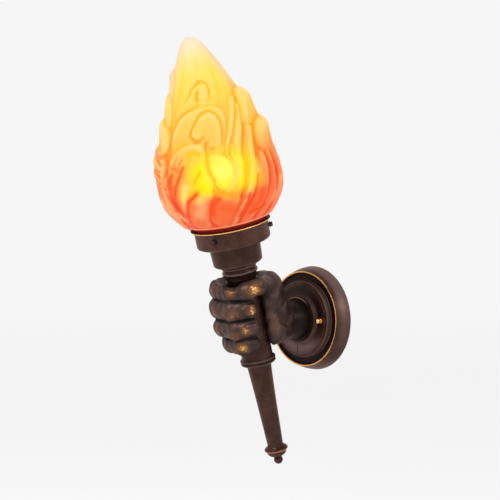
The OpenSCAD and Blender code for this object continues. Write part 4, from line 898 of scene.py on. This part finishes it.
def shapes_on_glass():
    """What is laid on the core, in its order: kind, turn round the axis, values and line."""
    shapes = [("leaf", 0, leaf) for leaf in SIDE_LEAVES]
    shapes += [("leaf", turn, leaf) for turn in (180, 0) for leaf in LEAVES]
    shapes += [("stroke", turn, stroke) for turn in (180, 0) for stroke in STROKES]
    shapes += [("stroke", 0, stroke) for stroke in SIDE_STROKES]
    for tint, strokes in TINTS.items():
        # the far side has only the strokes that start on the face
        shapes += [(tint, 180, stroke) for stroke in strokes if -15 < stroke[2][0][0] < 95]
        shapes += [(tint, 0, stroke) for stroke in strokes]
    return shapes + [("red", 0, (0.7, 1.5, line)) for _, _, line in SIDE_STROKES if line[0][0] < 0]


def model_flame(columns, rows):
    """Radii of the glass on a grid of levels and angles, and maps for its paint: creases, hollows, the
    slope of its leaves and the strokes of each tint. The creases, hollows and slope also carry painted
    shade and painted light."""
    u = np.linspace(0, 1, rows)
    s = SHOULDER + (TOP - SHOULDER) * (0.75 * u + 0.25 * (1 - np.cos(u * math.pi)) / 2)
    a = np.arange(columns) * 360 / columns - 180
    level, angle = np.meshgrid(s, a, indexing="ij")
    core = np.interp(level, *zip(*CORE))
    # shallow spiral flutes under the leaves
    fade = np.clip((level - 112) / 30, 0, 1) * np.clip((TOP - 6 - level) / 40, 0, 1)
    out = core + 0.8 * fade * (np.abs(np.cos(np.radians((angle - 0.43 * (level - 104)) * 5))) - 0.6)
    tints = {tint: np.zeros(out.shape) for tint in TINTS}
    for kind, turn, (*values, corners) in shapes_on_glass():
        line = smooth_curve(corners, kind == "leaf") + [turn, 0]
        margin = 1 if kind == "leaf" else 3.2 * values[1]
        band = (s > line[:, 1].min() - margin) & (s < line[:, 1].max() + margin)
        span = math.radians(1) * float(core[band].mean() + 2)
        off = np.abs((angle[band] - line[:, 0].mean() + 180) % 360 - 180)
        reach = off < np.ptp(line[:, 0]) / 2 + margin / span + 12
        gap, share = np.full(off.shape, 99.0), np.zeros(off.shape)
        spots = angle[band][reach], level[band][reach]
        gap[reach], share[reach] = line_gap(*spots, line, span, kind == "leaf")
        if kind in TINTS:
            strength, half = values
            tints[kind][band] = np.maximum(tints[kind][band], strength * np.exp(-(gap / half) ** 2))
        elif kind == "stroke":
            height, half = values
            taper = np.clip(np.minimum(share, 1 - share) * 6, 0, 1) ** 0.6
            out[band] += height * taper * np.exp(-(gap / half) ** 2)
        else:
            foot, tip, low, high = values
            t = np.clip((level[band] - low) / (high - low), 0, 1)
            height = foot + (tip - foot) * t ** 1.3
            roll = np.sin(np.clip(-gap / (3 + height), 0, 1) * math.pi / 2) ** 0.6
            raised = np.maximum(out[band], core[band] + height * roll)
            out[band] = np.where(gap < 0, raised, out[band])
    # a rounded bead where the glass meets the gallery
    out += 0.6 * np.exp(-((level - 109.6) / 0.9) ** 2)
    out = np.maximum(out, 0.5)
    rise = out - core
    fine = np.clip((blur(rise, 3, 3) - rise) / 0.6, -1, 1)
    wide = np.clip((blur(rise, 9, 9) - rise) / 1.6, -1, 1)
    soft = blur(rise, 2, 2)
    # slope across the leaves, for painted shade on their left sides and painted light on their right
    flank = np.clip((np.roll(soft, -3, 1) - np.roll(soft, 3, 1)) / 1.6, -1, 1)
    return s, out, dict(crease=fine, hollow=wide, flank=flank, **tints)


def ring(radii, s):
    """Circle of points round the axis at level s; near its tip the flame bends a little
    towards its left."""
    turn = np.linspace(-math.pi, math.pi, COLUMNS + 1)[:-1]
    r = np.broadcast_to(radii, turn.shape)
    bend = 3.25 * (max(s - 236.5, 0) / 48.2) ** 1.2
    side = r * np.sin(turn) + bend * math.sin(math.radians(-42))
    wall = -r * np.cos(turn) - bend * math.cos(math.radians(-42))
    return np.stack([side, wall, np.full_like(side, s)], 1)


COLUMNS, ROWS = ((432, 330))
NECK_R, WALL, FOOT = 34.2, 3.0, 87.3
BORE = NECK_R - WALL
flame_s, outer, maps = model_flame(COLUMNS, ROWS)
# down the inside from the tip, round the foot of the neck, and up the outside
rings = [
    ring(max(np.interp(x, *zip(*CORE)) - WALL - 1, 1), x) for x in np.linspace(275, SHOULDER + 2, 34)
]
rings += [ring(BORE, SHOULDER - 1), ring(BORE, FOOT + 0.5), ring(BORE + 0.5, FOOT)]
rings += [ring(NECK_R - 0.5, FOOT), ring(NECK_R, FOOT + 0.5)]
rings += [ring(NECK_R, SHOULDER - 1.2), ring(NECK_R + 0.6, SHOULDER - 0.4)]
unpainted = np.zeros(len(rings) * COLUMNS)
rings += [ring(radii, s) for radii, s in zip(outer, flame_s)]
row, column = np.meshgrid(np.arange(len(rings) - 1), np.arange(COLUMNS), indexing="ij")
here, beside = row * COLUMNS + column, row * COLUMNS + (column + 1) % COLUMNS
flame_faces = np.stack([here, beside, beside + COLUMNS, here + COLUMNS], -1).reshape(-1, 4).tolist()
last_ring = (len(rings) - 1) * COLUMNS
flame_faces += [list(range(COLUMNS))[::-1], list(range(last_ring, last_ring + COLUMNS))]
flame = build(
    "flame_glass", to_world(np.concatenate(rings)), flame_faces, "shade", "flame_glass", "flame_shade",
    **{key: np.concatenate([unpainted, value.ravel()]) for key, value in maps.items()},
)

glass = Finish("painted_glass", Roughness=0.4, IOR=1.45, Specular_IOR_Level=0.05)
r, level, v = glass.torch_axes()
crease, hollow, flank, red, amber, pale_stroke = (
    glass.attribute(name) for name in ("crease", "hollow", "flank", "red", "amber", "pale")
)


def facing(turn):
    """1 on the two sides of the glass that look along an angle, 0 halfway between them."""
    side, wall = math.sin(math.radians(turn)), math.cos(math.radians(turn))
    share = (glass.x * side - v * wall) / (r + 1.0)
    return share * share


# 1 on the two faces with the long curl, 0 over the scaled sides between them
face = facing(46)
drift = level + (glass.noise(26, 3.0) - 0.5) * 12
PAINT = [
    (0.0, (0.75, 0.05, 0.015)), (0.07, (0.97, 0.13, 0.035)), (0.2, (0.99, 0.21, 0.045)),
    (0.32, (0.99, 0.4, 0.06)), (0.45, (0.99, 0.53, 0.08)), (0.6, (0.99, 0.6, 0.08)),
    (0.72, (0.99, 0.69, 0.07)), (0.82, (0.99, 0.75, 0.11)), (0.9, (0.98, 0.78, 0.27)),
    (0.98, (0.96, 0.78, 0.56)),
]
paint = level.node("ValToRGB", {"stops": PAINT}, {0: (drift - 104) / 184})
sides = (1 - face.step(0.2, 0.8)) * drift.bell(148, 58)
paint = glass.mix((sides * 0.95).limit(), paint, (0.99, 0.15, 0.04))
# colour pools in the creases and hollows and is thin on the ridges, and this darkening in the creases is
# also painted shade; the left sides of the low leaves are darkened as painted shade and their right sides
# paled as painted light
ink = glass.mix(level.step(140, 215), (0.9, 0.03, 0.01), (0.98, 0.42, 0.01))
pale = glass.mix(level.step(125, 195), (0.98, 0.4, 0.17), (0.98, 0.7, 0.22))
thin = (-crease).limit() * 0.35 + (-hollow).limit() * 0.5 + (-flank).limit() * 0.35 + 0.1
paint = glass.mix(thin.limit(0, 0.8), paint, pale)
low = 1 - level.step(165, 205)
pool_and_shade = crease.limit() * 0.28 + hollow.limit() * 0.6 + flank.limit() * low * 0.7
paint = glass.mix(pool_and_shade.limit(0, 0.9), paint, ink)
# the lit lamp shines through as a yellow band with a pale spot
glow = facing(54)
lamp = drift.step(136, 154) * (1 - level.step(166, 196)) * glow.step(0.45, 0.92)
paint = glass.mix((lamp * (1.1 - pool_and_shade * 0.5)).limit(), paint, (0.99, 0.83, 0.005))
spot = level.bell(166, 20) * glow.step(0.82, 1.0)
paint = glass.mix((spot * (0.8 - pool_and_shade * 0.6)).limit(), paint, (0.97, 0.99, 0.2))
# strokes of paint over it, with painted shade in the red ones and painted light in the pale ones
amber_paint = glass.mix(level.step(140, 150), (0.99, 0.36, 0.02), (0.99, 0.55, 0.005))
pale_paint = glass.mix(level.step(134, 148), (0.99, 0.42, 0.18), (0.99, 0.8, 0.16))
paint = glass.mix(amber, paint, amber_paint)
paint = glass.mix(pale_stroke, paint, pale_paint)
paint = glass.mix(red, paint, (0.99, 0.08, 0.012))
# rosy glass at the sides of the tip
paint = glass.mix((1 - face.step(0.05, 0.5)) * level.step(222, 258) * 0.6, paint, (0.98, 0.64, 0.46))
# painted shade on the foot inside the gallery's lip, and a painted highlight on the bead above it
paint = glass.mix((1 - level.step(107.2, 109.0)) * 0.93, paint, (0.13, 0.006, 0.008))
paint = glass.mix(level.bell(109.7, 1.0) * 0.6, paint, (1.0, 0.5, 0.3))
glass.set("Base Color", paint.node("VectorMath", {"operation": "SCALE"}, {0: paint, 3: 0.28}))
glass.set("Emission Color", paint)
glass.set("Emission Strength", 0.62)
glass.bump(glass.noise(2.5, 2.0), 0.06)
glass.wear(flame)


# ---- Lamp ----
# A pearl glass lamp, lit: its bulb glows evenly through an inner coat. The post inside
# carries the filament.
bulb = Finish("pearl_glass", IOR=1.45, Alpha=0.96, Specular_IOR_Level=0.4)
r, level, v = bulb.torch_axes()
coat = bulb.noise(7, 3.0, 0.6, 1.0)
warm = bulb.mix(level.step(96, 150), (0.95, 0.62, 0.22), (1.0, 0.86, 0.52))
bulb.set("Base Color", bulb.mix(coat.step(0.4, 0.8) * 0.3, warm, (0.95, 0.72, 0.38)))
bulb.set("Emission Color", bulb.mix(coat, warm, (1.0, 0.94, 0.72)))
bulb.set("Emission Strength", 1.3)
bulb.set("Roughness", 0.12 + coat * 0.12)
bulb.wear("bulb_glass")

post = Finish("lamp_post", IOR=1.5)
cloud = post.noise(3, 3.0, 0.6, 2.0)
post.set("Base Color", post.mix(cloud.step(0.35, 0.7), (0.86, 0.85, 0.8), (0.7, 0.68, 0.6)))
post.set("Roughness", 0.2 + cloud * 0.2)
post.wear("filament_post")

# The lamp's screw cap is rolled from aluminium, with a black glass end that carries a
# soldered brass contact.
cap = Finish("cap_aluminium", Metallic=1.0)
streak = cap.noise(5, 4.0, 0.65, 3.0)
cap.set("Base Color", cap.mix(streak.step(0.35, 0.75), (0.72, 0.72, 0.71), (0.52, 0.51, 0.5)))
cap.set("Roughness", 0.26 + streak * 0.2)
cap.bump(streak, 0.05)
cap.wear("bulb_cap")

vitrite = Finish("black_vitrite", IOR=1.52)
pit = vitrite.noise(1.5, 3.0, 0.6, 4.0)
vitrite.set("Base Color", vitrite.mix(pit.step(0.4, 0.8), (0.012, 0.012, 0.014), (0.05, 0.047, 0.05)))
vitrite.set("Roughness", 0.14 + pit * 0.2)
vitrite.bump(pit, 0.04)
vitrite.wear("bulb_insulator")


# ---- Lampholder ----
# Glazed ceramic holder in two parts, screwed on the tube's upper end. Inside are a rolled
# brass thread, a sprung contact and two terminals.
glaze = Finish("glazed_ceramic", IOR=1.5, Coat_Weight=0.5, Coat_Roughness=0.06)
speck = glaze.noise(1.2, 3.0, 0.6, 5.0)
tint = glaze.noise(14, 3.0, 0.5, 6.0)
cream = glaze.mix(tint, (0.84, 0.82, 0.75), (0.74, 0.71, 0.62))
glaze.set("Base Color", glaze.mix(speck.step(0.68, 0.8) * 0.5, cream, (0.35, 0.3, 0.24)))
glaze.set("Roughness", 0.22 + tint * 0.14)
glaze.bump(tint, 0.08)
glaze.wear("holder_cap", "holder_body")

brass = Finish("rolled_brass", Metallic=1.0)
stain = brass.noise(4, 4.0, 0.6, 7.0)
brass.set("Base Color", brass.mix(stain.step(0.4, 0.75), (0.76, 0.54, 0.22), (0.42, 0.26, 0.1)))
brass.set("Roughness", 0.24 + stain * 0.25)
brass.bump(stain, 0.06)
brass.wear("holder_shell", "holder_contact", "holder_terminals", "earth_screw", "bulb_contact")

# A moulded ring with finger notches screws down on the gallery's floor.
ring_plastic = Finish("shade_ring_moulding", IOR=1.5)
mould = ring_plastic.noise(3, 3.0, 0.6, 8.0)
ring_plastic.set("Base Color", ring_plastic.mix(mould, (0.74, 0.71, 0.63), (0.64, 0.6, 0.52)))
ring_plastic.set("Roughness", 0.34 + mould * 0.2)
ring_plastic.bump(mould, 0.05)
ring_plastic.wear("shade_ring")

# A flat rubber gasket lies under the glass and keeps it off the metal.
rubber = Finish("gasket_rubber", IOR=1.5, Specular_IOR_Level=0.3)
bloom = rubber.noise(2.4, 4.0, 0.6, 9.0)
rubber.set("Base Color", rubber.mix(bloom.step(0.45, 0.8), (0.02, 0.02, 0.021), (0.07, 0.068, 0.066)))
rubber.set("Roughness", 0.66 + bloom * 0.22)
rubber.bump(bloom, 0.08)
rubber.wear("shade_gasket")


# ---- Steel inside ----
# Pressed wall bracket with its studs and lock nuts, and the two screwed tubes with their
# nuts and washer that clamp arm and torch. All are zinc plated, dull and slightly blue.
zinc = Finish("zinc_plate", Metallic=1.0)
spangle = zinc.noise(6, 5.0, 0.7, 10.0)
smear = zinc.noise(22, 3.0, 0.5, 11.0)
plating = zinc.mix(smear, (0.58, 0.6, 0.62), (0.66, 0.65, 0.6))
zinc.set("Base Color", zinc.mix(spangle.step(0.35, 0.7), plating, (0.4, 0.41, 0.43)))
zinc.set("Roughness", 0.3 + spangle * 0.25)
zinc.bump(spangle, 0.06)
zinc.wear("wall_bracket", "bracket_studs", "stud_lock_nuts", "arm_tube", "arm_washer", "arm_nut")
zinc.wear("torch_tube", "tube_nut", "terminal_screws")


# ---- Wiring inside ----
# A moulded two-way block on the bracket takes the mains. Three insulated leads run from
# it, and from the earth screw, through arm and torch to the lampholder.
block = Finish("block_moulding", IOR=1.5)
dust = block.noise(3.5, 3.0, 0.6, 12.0)
block.set("Base Color", block.mix(dust.step(0.3, 0.8), (0.84, 0.81, 0.72), (0.7, 0.66, 0.56)))
block.set("Roughness", 0.45 + dust * 0.2)
block.bump(dust, 0.06)
block.wear("terminal_block")

for lead, shade, worn in (
    ("live_lead", (0.2, 0.075, 0.03), (0.28, 0.12, 0.06)),
    ("neutral_lead", (0.03, 0.12, 0.42), (0.07, 0.18, 0.5)),
    ("earth_lead", (0.1, 0.36, 0.07), (0.62, 0.58, 0.06)),
):
    sleeve = Finish(lead + "_sleeve", IOR=1.5)
    print_mark = sleeve.noise(2.6, 3.0, 0.6, 13.0)
    stripe = sleeve.x.bell(0, 1.1) if lead == "earth_lead" else print_mark.step(0.45, 0.8)
    sleeve.set("Base Color", sleeve.mix(stripe, shade, worn))
    sleeve.set("Roughness", 0.4 + print_mark * 0.2)
    sleeve.bump(print_mark, 0.04)
    sleeve.wear(lead)
